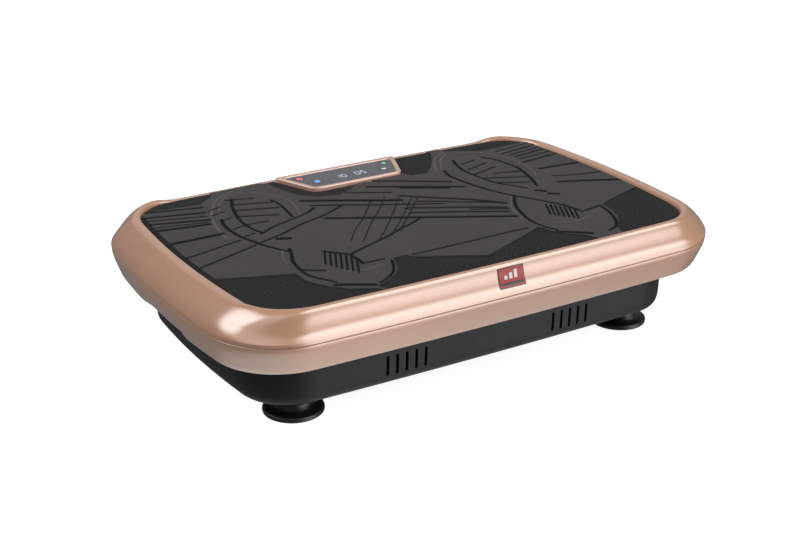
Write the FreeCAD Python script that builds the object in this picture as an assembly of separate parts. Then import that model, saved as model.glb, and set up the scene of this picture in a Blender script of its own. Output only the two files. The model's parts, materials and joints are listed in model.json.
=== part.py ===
import FreeCAD, Part
import math
import os

# Vibration plate for exercise: a rocking deck on a pivot shaft, driven by a belt and an eccentric.
# Millimetres. Origin at the middle of the footprint, on the floor. +X along the length, +Z up.
# The display is at the back (+Y) and the badge is at the front (-Y).

Vector = FreeCAD.Vector
os.makedirs("parts", exist_ok=True)

# Driving dimensions ---------------------------------------------------------------------------

# Outlines of the housing, each (half length, half width, corner radius, height).
PARTING = (330.0, 211.0, 86.0, 115.8)
FLARE = (330.0, 211.0, 86.0, 121.3)
SHOULDER = (322.0, 203.5, 80.0, 133.5)
FLOOR_EDGE = (318.5, 201.5, 78.0, 137.0)
LEDGE = (308.0, 195.5, 74.0, 148.5)
CREST = (304.0, 193.0, 70.0, 150.0)
LIP = (299.0, 190.5, 66.0, 150.0)
RIM_TOP = (330.0, 211.0, 86.0, 115.3)
RIM_LOW = (321.5, 201.0, 80.0, 85.0)
RIM_FOOT = (317.0, 196.0, 77.0, 80.5)
TRAY_TOP = (289.0, 170.0, 71.0, 88.0)
TRAY_WALL = (288.0, 169.0, 70.0, 42.0)
TRAY_TURN = (283.0, 164.0, 60.0, 30.0)
TRAY_FOOT = (273.0, 154.0, 44.0, 24.0)
END_BOW = 1250.0
SIDE_BOW = 9000.0
WALL = 3.2

# Mat and the display that stands in its notch.
MAT = (290.0, 187.0, 56.5)
MAT_GAP = 1.0
MAT_BOTTOM = 141.0
MAT_TOP = 147.0
NOTCH_BACK = 88.0
NOTCH_FRONT = 63.0
NOTCH_Y = 123.0
NOTCH_CORNER = 13.0
DISPLAY_GAP = 0.6
DISPLAY_TOP = 150.5
FRAME_WIDTH = 7.0
WINDOW_BOTTOM = 147.0
WINDOW_TOP = 149.2
KEY_RADIUS = 6.0
KEY_GAP = 0.5
KEY_TOP = 149.6
KEY_BOTTOM = 144.9
BOARD_TOP = 142.6
SWITCH_TOP = 144.2
KEYS = {
    "power_key": (-61.5, 167.5),
    "mode_key": (-46.5, 148.0),
    "faster_key": (61.5, 167.5),
    "slower_key": (50.0, 148.0),
}
DIGITS_AT = (4.0, 151.0)
BADGE_X = 1.0
BADGE_DROP = 0.47

# Chassis, deck plate and rocking pivot.
CHASSIS = (247.0, 138.0)
CHASSIS_BOTTOM = 27.0
CHASSIS_TOP = 30.0
DECK_BOTTOM = 126.0
DECK_TOP = 130.0
DECK = (284.0, 165.0, 60.0)
RAIL_Y = 130.0
RAIL_BOTTOM = 108.0
PIVOT_Z = 72.0
PIVOT_RADIUS = 10.0
BRACKET_Y = 90.0
BLOCK_Y = 112.0
RUNNING_FIT = 0.05

# Eccentric drive.
DRIVE_X = 115.0
DRIVE_Z = 70.0
ECCENTRIC = 2.5
DRIVE_RADIUS = 8.0
LOBE_RADIUS = 14.0
ROD_HALF = 9.0
PIN_Z = 104.0
PIN_RADIUS = 5.0
EYE_RADIUS = 10.5
DRIVE_BLOCK_Y = 32.0
BEARING_OUTER = 16.0
BEARING_INNER = 10.5
PULLEY_Y = -53.0
PULLEY_HALF = 7.0
DRIVE_PULLEY = 33.0
MOTOR_PULLEY = 11.0
BELT_GAP = 0.3
BELT_THICK = 2.5

# Motor.
MOTOR_X = 215.0
CAN_RADIUS = 35.0
CAN_WALL = 3.0
CAN_FRONT = -34.0
CAN_BACK = 64.0
CAP_THICK = 6.0
SHAFT_RADIUS = 5.0
ARMATURE_RADIUS = 26.5
ARMATURE_FRONT = -20.0
ARMATURE_BACK = 38.0
COMMUTATOR_RADIUS = 11.0
BRUSH_Y = 48.0

# Feet.
FOOT_X = 224.0
FOOT_Y = 119.5
FOOT_RADIUS = 34.0
FOOT_NECK = 21.0
FOOT_PAD = 6.0
TRAY_BOTTOM = TRAY_FOOT[3]

# Vents in the front wall, and the panel of connections in the rear wall.
VENT_X = 110.0
VENT_PITCH = 12.0
VENT_WIDTH = 3.6
VENT_LOW = 37.0
VENT_HIGH = 61.0
REAR_WALL = 169.5
PANEL_Z = 62.0
INLET_X = 150.0
SWITCH_X = 192.0
FUSE_X = 112.0
ROCKER_TILT = 10.0

X_AXIS = Vector(1, 0, 0)
Y_AXIS = Vector(0, 1, 0)
Z_AXIS = Vector(0, 0, 1)
CORNERS = [(sx, sy) for sx in (-1, 1) for sy in (-1, 1)]


# Shape helpers --------------------------------------------------------------------------------


def write(node, *shapes):
    """Writes one node's solids to its STEP file."""
    solids = [solid for shape in shapes for solid in shape.Solids]
    whole = solids[0] if len(solids) == 1 else Part.makeCompound(solids)
    whole.exportStep(f"parts/{node}.step")


def block(x0, x1, y0, y1, z0, z1):
    return Part.makeBox(x1 - x0, y1 - y0, z1 - z0, Vector(x0, y0, z0))


def rod(radius, start, end):
    start = Vector(*start)
    along = Vector(*end) - start
    return Part.makeCylinder(radius, along.Length, start, along)


def ring(outer, inner, start, end):
    return rod(outer, start, end).cut(rod(inner, start, end))


def outline(size, inset=0.0, height=None):
    """A rounded rectangle with slightly bowed sides, from four side arcs and four corner arcs."""
    half_x = size[0] - inset
    half_y = size[1] - inset
    corner = max(size[2] - inset, 6.0)
    z = size[3] if height is None else height
    end_centre = Vector(half_x - END_BOW, 0, 0)
    side_centre = Vector(0, half_y - SIDE_BOW, 0)
    end_reach = END_BOW - corner
    side_reach = SIDE_BOW - corner
    between = side_centre - end_centre
    gap = between.Length
    along = (gap**2 + end_reach**2 - side_reach**2) / (2 * gap)
    across = math.sqrt(end_reach**2 - along**2)
    unit = between / gap
    centre = end_centre + unit * along + Vector(-unit.y, unit.x, 0) * across
    on_end = centre + (centre - end_centre) / end_reach * corner
    on_side = centre + (centre - side_centre) / side_reach * corner
    middle = (on_end - centre) + (on_side - centre)
    on_corner = centre + middle / middle.Length * corner

    def at(point, sx, sy):
        return Vector(sx * point.x, sy * point.y, z)

    end_mid = Vector(half_x, 0, 0)
    side_mid = Vector(0, half_y, 0)
    turns = [(1, 1), (-1, 1), (-1, -1), (1, -1)]
    edges = []
    for index, (sx, sy) in enumerate(turns):
        nx, ny = turns[(index + 1) % 4]
        first, last, mid = (on_end, on_side, side_mid) if sx == sy else (on_side, on_end, end_mid)
        edges.append(Part.Arc(at(first, sx, sy), at(on_corner, sx, sy), at(last, sx, sy)).toShape())
        side = Part.Arc(at(last, sx, sy), at(mid, (sx + nx) / 2 or 1, (sy + ny) / 2 or 1), at(last, nx, ny))
        edges.append(side.toShape())
    return Part.Wire(edges)


def stack(*sections):
    """A solid lofted straight from each closed outline to the next."""
    return Part.makeLoft(list(sections), True, True)


def prism(wire, height):
    return Part.Face(wire).extrude(Vector(0, 0, height))


def rounded_polygon(corners, z):
    """A closed wire through (x, y, radius) corners, each turned by an arc of its radius."""
    turns = []
    count = len(corners)
    for index, (x, y, radius) in enumerate(corners):
        here = Vector(x, y, z)
        before = (Vector(*corners[index - 1][:2], z) - here).normalize()
        after = (Vector(*corners[(index + 1) % count][:2], z) - here).normalize()
        half_angle = before.getAngle(after) / 2
        reach = radius / math.tan(half_angle)
        depth = radius / math.sin(half_angle) - radius
        inward = (before + after).normalize()
        turns.append((here + before * reach, here + inward * depth, here + after * reach))
    edges = []
    for index, (start, mid, end) in enumerate(turns):
        edges.append(Part.Arc(start, mid, end).toShape())
        edges.append(Part.LineSegment(end, turns[(index + 1) % count][0]).toShape())
    return Part.Wire(edges)


def notch(inset, z, back_y):
    """The outline of the display and of the mat's notch: narrow at the front, wide at the back."""
    slope = (NOTCH_BACK - NOTCH_FRONT) / (MAT[1] - NOTCH_Y)
    side = inset * math.hypot(1, slope)
    front_y = NOTCH_Y + inset
    front = NOTCH_FRONT + slope * inset - side
    back = NOTCH_FRONT + slope * (back_y - NOTCH_Y) - side
    front_corner = max(NOTCH_CORNER - inset, 3.0)
    corners = [(-front, front_y, front_corner), (front, front_y, front_corner)]
    corners += [(back, back_y, 3.0), (-back, back_y, 3.0)]
    return rounded_polygon(corners, z)


def turned(shape, degrees, centre, axis):
    copy = shape.copy()
    copy.rotate(Vector(*centre), axis, degrees)
    return copy


def screw(x, y, z, radius, length, head_radius, head_height):
    """A pan-head screw whose head is below z and whose shank points up."""
    shank = rod(radius, (x, y, z), (x, y, z + length))
    head = rod(head_radius, (x, y, z - head_height), (x, y, z))
    socket = rod(head_radius * 0.45, (x, y, z - head_height), (x, y, z - head_height * 0.45))
    return shank.fuse(head).cut(socket)


def lead(radius, points):
    """A wire of straight runs joined by tangent arcs, each arc as large as its runs allow."""
    points = [Vector(*point) for point in points]
    edges = []
    start = points[0]
    for before, here, after in zip(points, points[1:], points[2:]):
        back = (before - here).normalize()
        ahead = (after - here).normalize()
        half_angle = back.getAngle(ahead) / 2
        reach = 0.45 * min((before - here).Length, (after - here).Length)
        bend = reach * math.tan(half_angle)
        depth = bend / math.sin(half_angle) - bend
        inward = (back + ahead).normalize()
        first = here + back * reach
        last = here + ahead * reach
        edges.append(Part.LineSegment(start, first).toShape())
        edges.append(Part.Arc(first, here + inward * depth, last).toShape())
        start = last
    edges.append(Part.LineSegment(start, points[-1]).toShape())
    path = Part.Wire(edges)
    circle = Part.Circle(points[0], points[1] - points[0], radius)
    return path.makePipeShell([Part.Wire([circle.toShape()])], True, False)


# Deck: shell, rim, mat ------------------------------------------------------------------------


def deck_bosses():
    return [(x, y) for x in (-250, -125, 0, 125, 250) for y in (-110, 110)]


def rim_screw_places():
    places = [(x, sy * 197.0) for x in (-180, -60, 60, 180) for sy in (-1, 1)]
    return places + [(sx * 316.0, y) for sx in (-1, 1) for y in (-70, 70)]


def top_shell():
    skirt = stack(outline(PARTING), outline(FLARE))
    outer = skirt.fuse(stack(outline(FLARE), outline(SHOULDER), outline(LEDGE), outline(CREST)))
    low = stack(outline(PARTING, WALL, PARTING[3] - 0.5), outline(FLARE, WALL))
    hollow = low.fuse(stack(outline(FLARE, WALL), outline(SHOULDER, WALL), outline(FLOOR_EDGE, WALL)))
    seat = outline(MAT, -MAT_GAP, MAT_BOTTOM)
    pocket = prism(seat, MAT_TOP - MAT_BOTTOM)
    slope = stack(outline(MAT, -MAT_GAP, MAT_TOP), outline(LIP))
    shell = outer.cut(hollow).cut(pocket).cut(slope)
    band = prism(outline(PARTING, 2.8), 2.6)
    flange = band.cut(prism(outline(PARTING, 22.0), 2.6))
    shell = shell.fuse(flange)
    for x, y in deck_bosses():
        shell = shell.fuse(rod(9.0, (x, y, DECK_TOP), (x, y, FLOOR_EDGE[3] + 1)))
        shell = shell.cut(rod(2.6, (x, y, DECK_TOP - 1), (x, y, FLOOR_EDGE[3])))
    for x, y in rim_screw_places():
        shell = shell.cut(rod(2.1, (x, y, PARTING[3] - 1), (x, y, PARTING[3] + 4)))
    lead_hole = rod(6.0, (0, 160, FLOOR_EDGE[3] - 1), (0, 160, MAT_BOTTOM + 1))
    return shell.cut(lead_hole)


def lower_rim():
    outer = stack(outline(RIM_FOOT), outline(RIM_LOW), outline(RIM_TOP))
    top = outline(RIM_TOP, WALL, RIM_TOP[3] + 0.1)
    hollow = stack(outline(RIM_LOW, WALL, RIM_FOOT[3] + WALL), outline(RIM_LOW, WALL), top)
    mouth = prism(outline(RIM_FOOT, 10.0, RIM_FOOT[3] - 1), 8.0)
    rim = outer.cut(hollow).cut(mouth)
    flange_z = RIM_TOP[3] - 2.6
    flange = prism(outline(RIM_TOP, 2.8, flange_z), 2.6)
    rim = rim.fuse(flange.cut(prism(outline(RIM_TOP, 22.0, flange_z), 2.6)))
    for x, y in rim_screw_places():
        rim = rim.cut(rod(2.1, (x, y, flange_z - 1), (x, y, flange_z + 4)))
    return rim


def mat():
    body = prism(outline(MAT, 0.0, MAT_BOTTOM), MAT_TOP - MAT_BOTTOM)
    return body.cut(prism(notch(0.0, MAT_BOTTOM - 1, MAT[1] + 8), 10.0))


# Display --------------------------------------------------------------------------------------


def display_bezel():
    back = MAT[1] - 0.2
    bevel = 2.6
    bottom = notch(DISPLAY_GAP, MAT_BOTTOM, back)
    knee = notch(DISPLAY_GAP, DISPLAY_TOP - bevel, back)
    top = notch(DISPLAY_GAP + bevel, DISPLAY_TOP, back - bevel)
    body = stack(bottom, knee, top)
    sight = prism(notch(FRAME_WIDTH, WINDOW_BOTTOM, back - FRAME_WIDTH), 8.0)
    well = prism(notch(FRAME_WIDTH + 2, MAT_BOTTOM - 1, back - FRAME_WIDTH - 2), 10.0)
    return body.cut(sight).cut(well)


def display_window():
    back = MAT[1] - 0.2 - FRAME_WIDTH - 0.3
    pane = prism(notch(FRAME_WIDTH + 0.3, WINDOW_BOTTOM, back), WINDOW_TOP - WINDOW_BOTTOM)
    for x, y in KEYS.values():
        pane = pane.cut(rod(KEY_RADIUS + KEY_GAP, (x, y, WINDOW_BOTTOM - 1), (x, y, WINDOW_TOP + 1)))
    return pane


def display_board():
    back = MAT[1] - 0.2 - FRAME_WIDTH - 2.5
    board = prism(notch(FRAME_WIDTH + 2.5, MAT_BOTTOM, back), BOARD_TOP - MAT_BOTTOM)
    for x, y in KEYS.values():
        board = board.fuse(rod(3.0, (x, y, MAT_BOTTOM), (x, y, SWITCH_TOP)))
    return board


def key(x, y):
    cap = rod(KEY_RADIUS, (x, y, KEY_BOTTOM), (x, y, KEY_TOP))
    return cap.fuse(rod(KEY_RADIUS + 1.5, (x, y, KEY_BOTTOM), (x, y, KEY_BOTTOM + 1.2)))


def badge():
    """A thin plate lying on the sloping front of the shell."""
    top = Vector(0, -LEDGE[1], LEDGE[3])
    down = Vector(0, LEDGE[1] - FLARE[1], FLARE[3] - LEDGE[3])
    tilt = math.degrees(math.atan2(-down.z, -down.y))
    plate = rounded_polygon([(-17, -11.5, 1.5), (17, -11.5, 1.5), (17, 11.5, 1.5), (-17, 11.5, 1.5)], 0)
    plate = prism(plate, 1.0)
    plate.translate(Vector(BADGE_X, 0, 0.15))
    plate.rotate(Vector(0, 0, 0), X_AXIS, tilt)
    plate.translate(top + down * BADGE_DROP)
    return plate


# Deck: frame and pivot ------------------------------------------------------------------------


def deck_plate():
    plate = prism(outline(DECK, 0.0, DECK_BOTTOM), DECK_TOP - DECK_BOTTOM)
    for x, y in deck_bosses():
        plate = plate.cut(rod(3.3, (x, y, DECK_BOTTOM - 1), (x, y, DECK_TOP + 1)))
    return plate


def deck_rail(side):
    """A channel along the deck, open downwards."""
    low = side * RAIL_Y - 15
    high = side * RAIL_Y + 15
    rail = block(-262, 262, low, high, RAIL_BOTTOM, DECK_BOTTOM)
    return rail.cut(block(-263, 263, low + 3, high - 3, RAIL_BOTTOM - 1, DECK_BOTTOM - 3))


def pivot_bracket(side):
    centre = side * BRACKET_Y
    plate = block(-20, 20, centre - 4, centre + 4, PIVOT_Z, DECK_BOTTOM)
    plate = plate.fuse(rod(20, (0, centre - 4, PIVOT_Z), (0, centre + 4, PIVOT_Z)))
    foot = block(-32, 32, centre - 14, centre + 14, DECK_BOTTOM - 4, DECK_BOTTOM)
    bore = rod(PIVOT_RADIUS, (0, centre - 20, PIVOT_Z), (0, centre + 20, PIVOT_Z))
    return plate.fuse(foot).cut(bore)


def pivot_block(side):
    """A pillow block standing on the chassis, with a bore for its bush."""
    centre = side * BLOCK_Y
    body = block(-26, 26, centre - 10, centre + 10, CHASSIS_TOP, PIVOT_Z)
    body = body.fuse(rod(22, (0, centre - 10, PIVOT_Z), (0, centre + 10, PIVOT_Z)))
    foot = block(-44, 44, centre - 10, centre + 10, CHASSIS_TOP, CHASSIS_TOP + 10)
    bore = rod(PIVOT_RADIUS + 3, (0, centre - 11, PIVOT_Z), (0, centre + 11, PIVOT_Z))
    return body.fuse(foot).cut(bore)


def pivot_bush(side):
    centre = side * BLOCK_Y
    inner = PIVOT_RADIUS + RUNNING_FIT
    return ring(PIVOT_RADIUS + 3, inner, (0, centre - 10, PIVOT_Z), (0, centre + 10, PIVOT_Z))


def pivot_shaft():
    end = BLOCK_Y + 16
    shaft = rod(PIVOT_RADIUS, (0, -end, PIVOT_Z), (0, end, PIVOT_Z))
    for side in (-1, 1):
        start = (0, side * (end - 5), PIVOT_Z)
        stop = (0, side * (end - 3.5), PIVOT_Z)
        shaft = shaft.cut(ring(PIVOT_RADIUS + 1, PIVOT_RADIUS - 1.5, start, stop))
    return shaft


def pivot_circlip(side):
    start = (0, side * (BLOCK_Y + 11.1), PIVOT_Z)
    end = (0, side * (BLOCK_Y + 12.4), PIVOT_Z)
    clip = ring(PIVOT_RADIUS + 3, PIVOT_RADIUS - 1.4, start, end)
    gap = block(-3, 3, -200, 200, PIVOT_Z, PIVOT_Z + 20)
    return clip.cut(gap)


def conrod_clevis():
    cheeks = []
    for side in (-1, 1):
        y0, y1 = sorted((side * 13.0, side * 19.0))
        cheek = block(DRIVE_X - 13, DRIVE_X + 13, y0, y1, PIN_Z, DECK_BOTTOM)
        cheeks.append(cheek.fuse(rod(9.5, (DRIVE_X, y0, PIN_Z), (DRIVE_X, y1, PIN_Z))))
    top = block(DRIVE_X - 26, DRIVE_X + 26, -24, 24, DECK_BOTTOM - 2.4, DECK_BOTTOM)
    body = top.fuse(cheeks[0]).fuse(cheeks[1])
    return body.cut(rod(PIN_RADIUS, (DRIVE_X, -30, PIN_Z), (DRIVE_X, 30, PIN_Z)))


def clevis_pin():
    pin = rod(PIN_RADIUS, (DRIVE_X, -21, PIN_Z), (DRIVE_X, 21, PIN_Z))
    return pin.fuse(rod(PIN_RADIUS + 2.5, (DRIVE_X, -23, PIN_Z), (DRIVE_X, -19, PIN_Z)))


# Drive ----------------------------------------------------------------------------------------


def eccentric_shaft():
    shaft = rod(DRIVE_RADIUS, (DRIVE_X, -64, DRIVE_Z), (DRIVE_X, 44, DRIVE_Z))
    centre = DRIVE_X + ECCENTRIC
    return shaft.fuse(rod(LOBE_RADIUS, (centre, -ROD_HALF - 1, DRIVE_Z), (centre, ROD_HALF + 1, DRIVE_Z)))


def drive_block(side):
    centre = side * DRIVE_BLOCK_Y
    body = block(DRIVE_X - 22, DRIVE_X + 22, centre - 8, centre + 8, CHASSIS_TOP, DRIVE_Z)
    body = body.fuse(rod(22, (DRIVE_X, centre - 8, DRIVE_Z), (DRIVE_X, centre + 8, DRIVE_Z)))
    foot = block(DRIVE_X - 38, DRIVE_X + 38, centre - 8, centre + 8, CHASSIS_TOP, CHASSIS_TOP + 8)
    bore = rod(BEARING_OUTER, (DRIVE_X, centre - 9, DRIVE_Z), (DRIVE_X, centre + 9, DRIVE_Z))
    return body.fuse(foot).cut(bore)


def bearing_ring(side, outer, inner):
    centre = side * DRIVE_BLOCK_Y
    return ring(outer, inner, (DRIVE_X, centre - 5, DRIVE_Z), (DRIVE_X, centre + 5, DRIVE_Z))


def bearing_balls(side):
    pitch = (BEARING_INNER + BEARING_OUTER - 2.5) / 2
    balls = []
    for index in range(9):
        turn = 2 * math.pi * index / 9
        x = DRIVE_X + pitch * math.cos(turn)
        z = DRIVE_Z + pitch * math.sin(turn)
        balls.append(Part.makeSphere(1.2, Vector(x, side * DRIVE_BLOCK_Y, z)))
    return balls


def grooved_pulley(x, radius, bore, hub):
    """A flat-topped pulley with shallow V grooves round its rim."""
    start = PULLEY_Y - PULLEY_HALF
    end = PULLEY_Y + PULLEY_HALF
    body = rod(radius, (x, start, DRIVE_Z), (x, end, DRIVE_Z))
    for index in range(5):
        y = PULLEY_Y + (index - 2) * 2.4
        body = body.cut(ring(radius + 1, radius - 1.2, (x, y - 0.6, DRIVE_Z), (x, y + 0.6, DRIVE_Z)))
    if hub:
        body = body.cut(ring(radius - 5, hub, (x, start - 1, DRIVE_Z), (x, start + 4.5, DRIVE_Z)))
        body = body.cut(ring(radius - 5, hub, (x, end - 4.5, DRIVE_Z), (x, end + 1, DRIVE_Z)))
    return body.cut(rod(bore, (x, start - 1, DRIVE_Z), (x, end + 1, DRIVE_Z)))


def belt_loop(extra):
    """A filled belt outline round both pulleys, grown by extra, in the XZ plane."""
    big = DRIVE_PULLEY + BELT_GAP + extra
    small = MOTOR_PULLEY + BELT_GAP + extra
    tilt = math.asin((big - small) / (MOTOR_X - DRIVE_X))
    y = PULLEY_Y - PULLEY_HALF + 0.5

    def on(centre, radius, angle):
        return Vector(centre + radius * math.cos(angle), y, DRIVE_Z + radius * math.sin(angle))

    up = math.pi / 2 - tilt
    edges = [
        Part.Arc(on(DRIVE_X, big, up), on(DRIVE_X, big, math.pi), on(DRIVE_X, big, -up)),
        Part.LineSegment(on(DRIVE_X, big, -up), on(MOTOR_X, small, -up)),
        Part.Arc(on(MOTOR_X, small, -up), on(MOTOR_X, small, 0), on(MOTOR_X, small, up)),
        Part.LineSegment(on(MOTOR_X, small, up), on(DRIVE_X, big, up)),
    ]
    wire = Part.Wire([edge.toShape() for edge in edges])
    return Part.Face(wire).extrude(Y_AXIS * (2 * PULLEY_HALF - 1))


def conrod():
    centre = DRIVE_X + ECCENTRIC
    y0, y1 = -ROD_HALF, ROD_HALF
    big = rod(LOBE_RADIUS + 9, (centre, y0, DRIVE_Z), (centre, y1, DRIVE_Z))
    small = rod(EYE_RADIUS + 5, (centre, y0, PIN_Z), (centre, y1, PIN_Z))
    web = block(centre - 13, centre + 13, y0 + 2, y1 - 2, DRIVE_Z + 15, PIN_Z - 6)
    body = big.fuse(small).fuse(web)
    body = body.cut(rod(LOBE_RADIUS + 3, (centre, y0 - 1, DRIVE_Z), (centre, y1 + 1, DRIVE_Z)))
    return body.cut(rod(EYE_RADIUS, (centre, y0 - 1, PIN_Z), (centre, y1 + 1, PIN_Z)))


def big_end_bush():
    centre = DRIVE_X + ECCENTRIC
    start = (centre, -ROD_HALF, DRIVE_Z)
    end = (centre, ROD_HALF, DRIVE_Z)
    return ring(LOBE_RADIUS + 3, LOBE_RADIUS + RUNNING_FIT, start, end)


# Motor ----------------------------------------------------------------------------------------


def on_motor(radius, y0, y1):
    return rod(radius, (MOTOR_X, y0, DRIVE_Z), (MOTOR_X, y1, DRIVE_Z))


def motor_can():
    return on_motor(CAN_RADIUS, CAN_FRONT, CAN_BACK).cut(on_motor(CAN_RADIUS - CAN_WALL, CAN_FRONT, CAN_BACK))


def motor_end_cap(y0, y1, inward):
    """A disc that closes the can, with a boss that carries the shaft's bearing."""
    boss = sorted((y1 if inward > 0 else y0, (y1 if inward > 0 else y0) + inward * 5))
    cap = on_motor(CAN_RADIUS, y0, y1).fuse(on_motor(12, *boss))
    low, high = min(y0, boss[0]), max(y1, boss[1])
    return cap.cut(on_motor(SHAFT_RADIUS + RUNNING_FIT, low - 1, high + 1))


def motor_magnet(side):
    arc = on_motor(CAN_RADIUS - CAN_WALL, ARMATURE_FRONT, ARMATURE_BACK)
    arc = arc.cut(on_motor(ARMATURE_RADIUS + 1, ARMATURE_FRONT - 1, ARMATURE_BACK + 1))
    half = 20.0
    y0, y1 = ARMATURE_FRONT - 2, ARMATURE_BACK + 2
    x0, x1 = sorted((MOTOR_X + side * 13, MOTOR_X + side * 50))
    keep = block(x0, x1, y0, y1, DRIVE_Z - half * 1.3, DRIVE_Z + half * 1.3)
    return arc.common(keep)


def armature():
    """A laminated core with twelve winding slots."""
    core = on_motor(ARMATURE_RADIUS, ARMATURE_FRONT, ARMATURE_BACK)
    low, high = ARMATURE_RADIUS - 7, ARMATURE_RADIUS + 2
    for index in range(12):
        slot = block(-1.4, 1.4, ARMATURE_FRONT - 1, ARMATURE_BACK + 1, low, high)
        slot.rotate(Vector(0, 0, 0), Y_AXIS, index * 30)
        slot.translate(Vector(MOTOR_X, 0, DRIVE_Z))
        core = core.cut(slot)
    return core.cut(on_motor(SHAFT_RADIUS, ARMATURE_FRONT - 1, ARMATURE_BACK + 1))


def commutator():
    body = on_motor(COMMUTATOR_RADIUS, BRUSH_Y - 7, BRUSH_Y + 6)
    return body.cut(on_motor(SHAFT_RADIUS, BRUSH_Y - 8, BRUSH_Y + 7))


def motor_brush(side):
    inner = side * (COMMUTATOR_RADIUS + 0.3)
    outer = side * (CAN_RADIUS - CAN_WALL - 2)
    x0, x1 = sorted((MOTOR_X + inner, MOTOR_X + outer))
    return block(x0, x1, BRUSH_Y - 3.5, BRUSH_Y + 3.5, DRIVE_Z - 3, DRIVE_Z + 3)


def motor_bracket():
    base = block(MOTOR_X - 40, MOTOR_X + 40, -30, 60, CHASSIS_TOP, CHASSIS_TOP + 4)
    for y0 in (-30, 50):
        base = base.fuse(block(MOTOR_X - 32, MOTOR_X + 32, y0, y0 + 10, CHASSIS_TOP, DRIVE_Z - 10))
    return base.cut(on_motor(CAN_RADIUS, -40, 70))


def motor_clamp(y):
    """A strap over the can that bolts down to the bracket."""
    band = ring(CAN_RADIUS + 2, CAN_RADIUS, (MOTOR_X, y, DRIVE_Z), (MOTOR_X, y + 10, DRIVE_Z))
    return band.cut(block(MOTOR_X - 60, MOTOR_X + 60, y - 1, y + 11, 0, DRIVE_Z - 9))


# Base -----------------------------------------------------------------------------------------


def vents():
    """Two groups of five upright slots through the front wall."""
    cuts = []
    for side in (-1, 1):
        for index in range(5):
            x = side * VENT_X + (index - 2) * VENT_PITCH
            half = VENT_WIDTH / 2
            slot = block(x - half, x + half, -180, -140, VENT_LOW + half, VENT_HIGH - half)
            for z in (VENT_LOW + half, VENT_HIGH - half):
                slot = slot.fuse(rod(half, (x, -180, z), (x, -140, z)))
            cuts.append(slot)
    return cuts


def base_tray():
    outer = stack(outline(TRAY_FOOT), outline(TRAY_TURN), outline(TRAY_WALL), outline(TRAY_TOP))
    low = outline(TRAY_FOOT, WALL, TRAY_BOTTOM + 3)
    turn = outline(TRAY_TURN, WALL, 33.0)
    hollow = stack(low, turn, outline(TRAY_WALL, WALL), outline(TRAY_TOP, WALL, 89.0))
    tray = outer.cut(hollow)
    for slot in vents():
        tray = tray.cut(slot)
    tray = tray.cut(block(INLET_X - 14, INLET_X + 14, 150, 180, PANEL_Z - 12, PANEL_Z + 12))
    tray = tray.cut(block(SWITCH_X - 11, SWITCH_X + 11, 150, 180, PANEL_Z - 14, PANEL_Z + 14))
    tray = tray.cut(rod(6.5, (FUSE_X, 150, PANEL_Z), (FUSE_X, 180, PANEL_Z)))
    for sx, sy in CORNERS:
        tray = tray.cut(rod(4.2, (sx * FOOT_X, sy * FOOT_Y, 20), (sx * FOOT_X, sy * FOOT_Y, 32)))
    return tray


def chassis_plate():
    plate = block(-CHASSIS[0], CHASSIS[0], -CHASSIS[1], CHASSIS[1], CHASSIS_BOTTOM, CHASSIS_TOP)
    for sx, sy in CORNERS:
        plate = plate.cut(rod(4.2, (sx * FOOT_X, sy * FOOT_Y, 20), (sx * FOOT_X, sy * FOOT_Y, 32)))
    for x in (-232, -128):
        for y in (-78, 48):
            plate = plate.fuse(rod(4, (x, y, CHASSIS_TOP), (x, y, CHASSIS_TOP + 6)))
    return plate


def foot(sx, sy):
    """A soft cup foot: a wide pad, a flared skirt and a neck up to the tray."""
    profile = [
        (0.0, 1.2), (24.0, 1.2), (26.0, 0.0), (FOOT_RADIUS - 1.5, 0.0), (FOOT_RADIUS, 1.5),
        (FOOT_RADIUS, FOOT_PAD - 1), (FOOT_RADIUS - 2, FOOT_PAD), (FOOT_NECK + 3, FOOT_PAD + 2.5),
        (FOOT_NECK, FOOT_PAD + 6), (FOOT_NECK, TRAY_BOTTOM), (0.0, TRAY_BOTTOM),
    ]
    points = [Vector(r, 0, z) for r, z in profile]
    wire = Part.makePolygon(points + [points[0]])
    body = Part.Face(wire).revolve(Vector(0, 0, 0), Z_AXIS, 360)
    body = body.cut(rod(4.2, (0, 0, 10), (0, 0, 30))).cut(rod(8.5, (0, 0, 0), (0, 0, 12)))
    body.translate(Vector(sx * FOOT_X, sy * FOOT_Y, 0))
    return body


def foot_screw(sx, sy):
    x, y = sx * FOOT_X, sy * FOOT_Y
    bolt = screw(x, y, 12.0, 4.0, CHASSIS_TOP - 12 + 9, 8.0, 5.0)
    nut = prism(Part.makePolygon([
        Vector(x + 7.5 * math.cos(math.pi * k / 3), y + 7.5 * math.sin(math.pi * k / 3), CHASSIS_TOP)
        for k in range(7)
    ]), 6.5)
    return bolt, nut.cut(rod(4.0, (x, y, 25), (x, y, 45)))


def control_board():
    board = block(-240, -120, -86, 56, CHASSIS_TOP + 6, CHASSIS_TOP + 7.6)
    relay = block(-150, -128, -80, -60, CHASSIS_TOP + 7.6, CHASSIS_TOP + 24)
    chip = block(-195, -175, -20, 0, CHASSIS_TOP + 7.6, CHASSIS_TOP + 10)
    plug = block(-170, -150, 38, 54, CHASSIS_TOP + 7.6, CHASSIS_TOP + 18)
    return board.fuse(relay).fuse(chip).fuse(plug)


def heatsink():
    base_z = CHASSIS_TOP + 7.6
    body = block(-236, -200, -70, 40, base_z, base_z + 5)
    for index in range(7):
        x = -235.5 + index * 5.75
        body = body.fuse(block(x, x + 1.8, -70, 40, base_z + 4, base_z + 32))
    return body


def capacitors():
    z = CHASSIS_TOP + 7.6
    return [rod(11, (-160, y, z), (-160, y, z + 34)) for y in (-38, -10)]


def transformer():
    z = CHASSIS_TOP + 7.6
    core = block(-196, -148, 8, 34, z, z + 34)
    return core.fuse(block(-190, -154, 4.5, 37.5, z + 4, z + 30))


# Rear panel of connections --------------------------------------------------------------------


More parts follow.
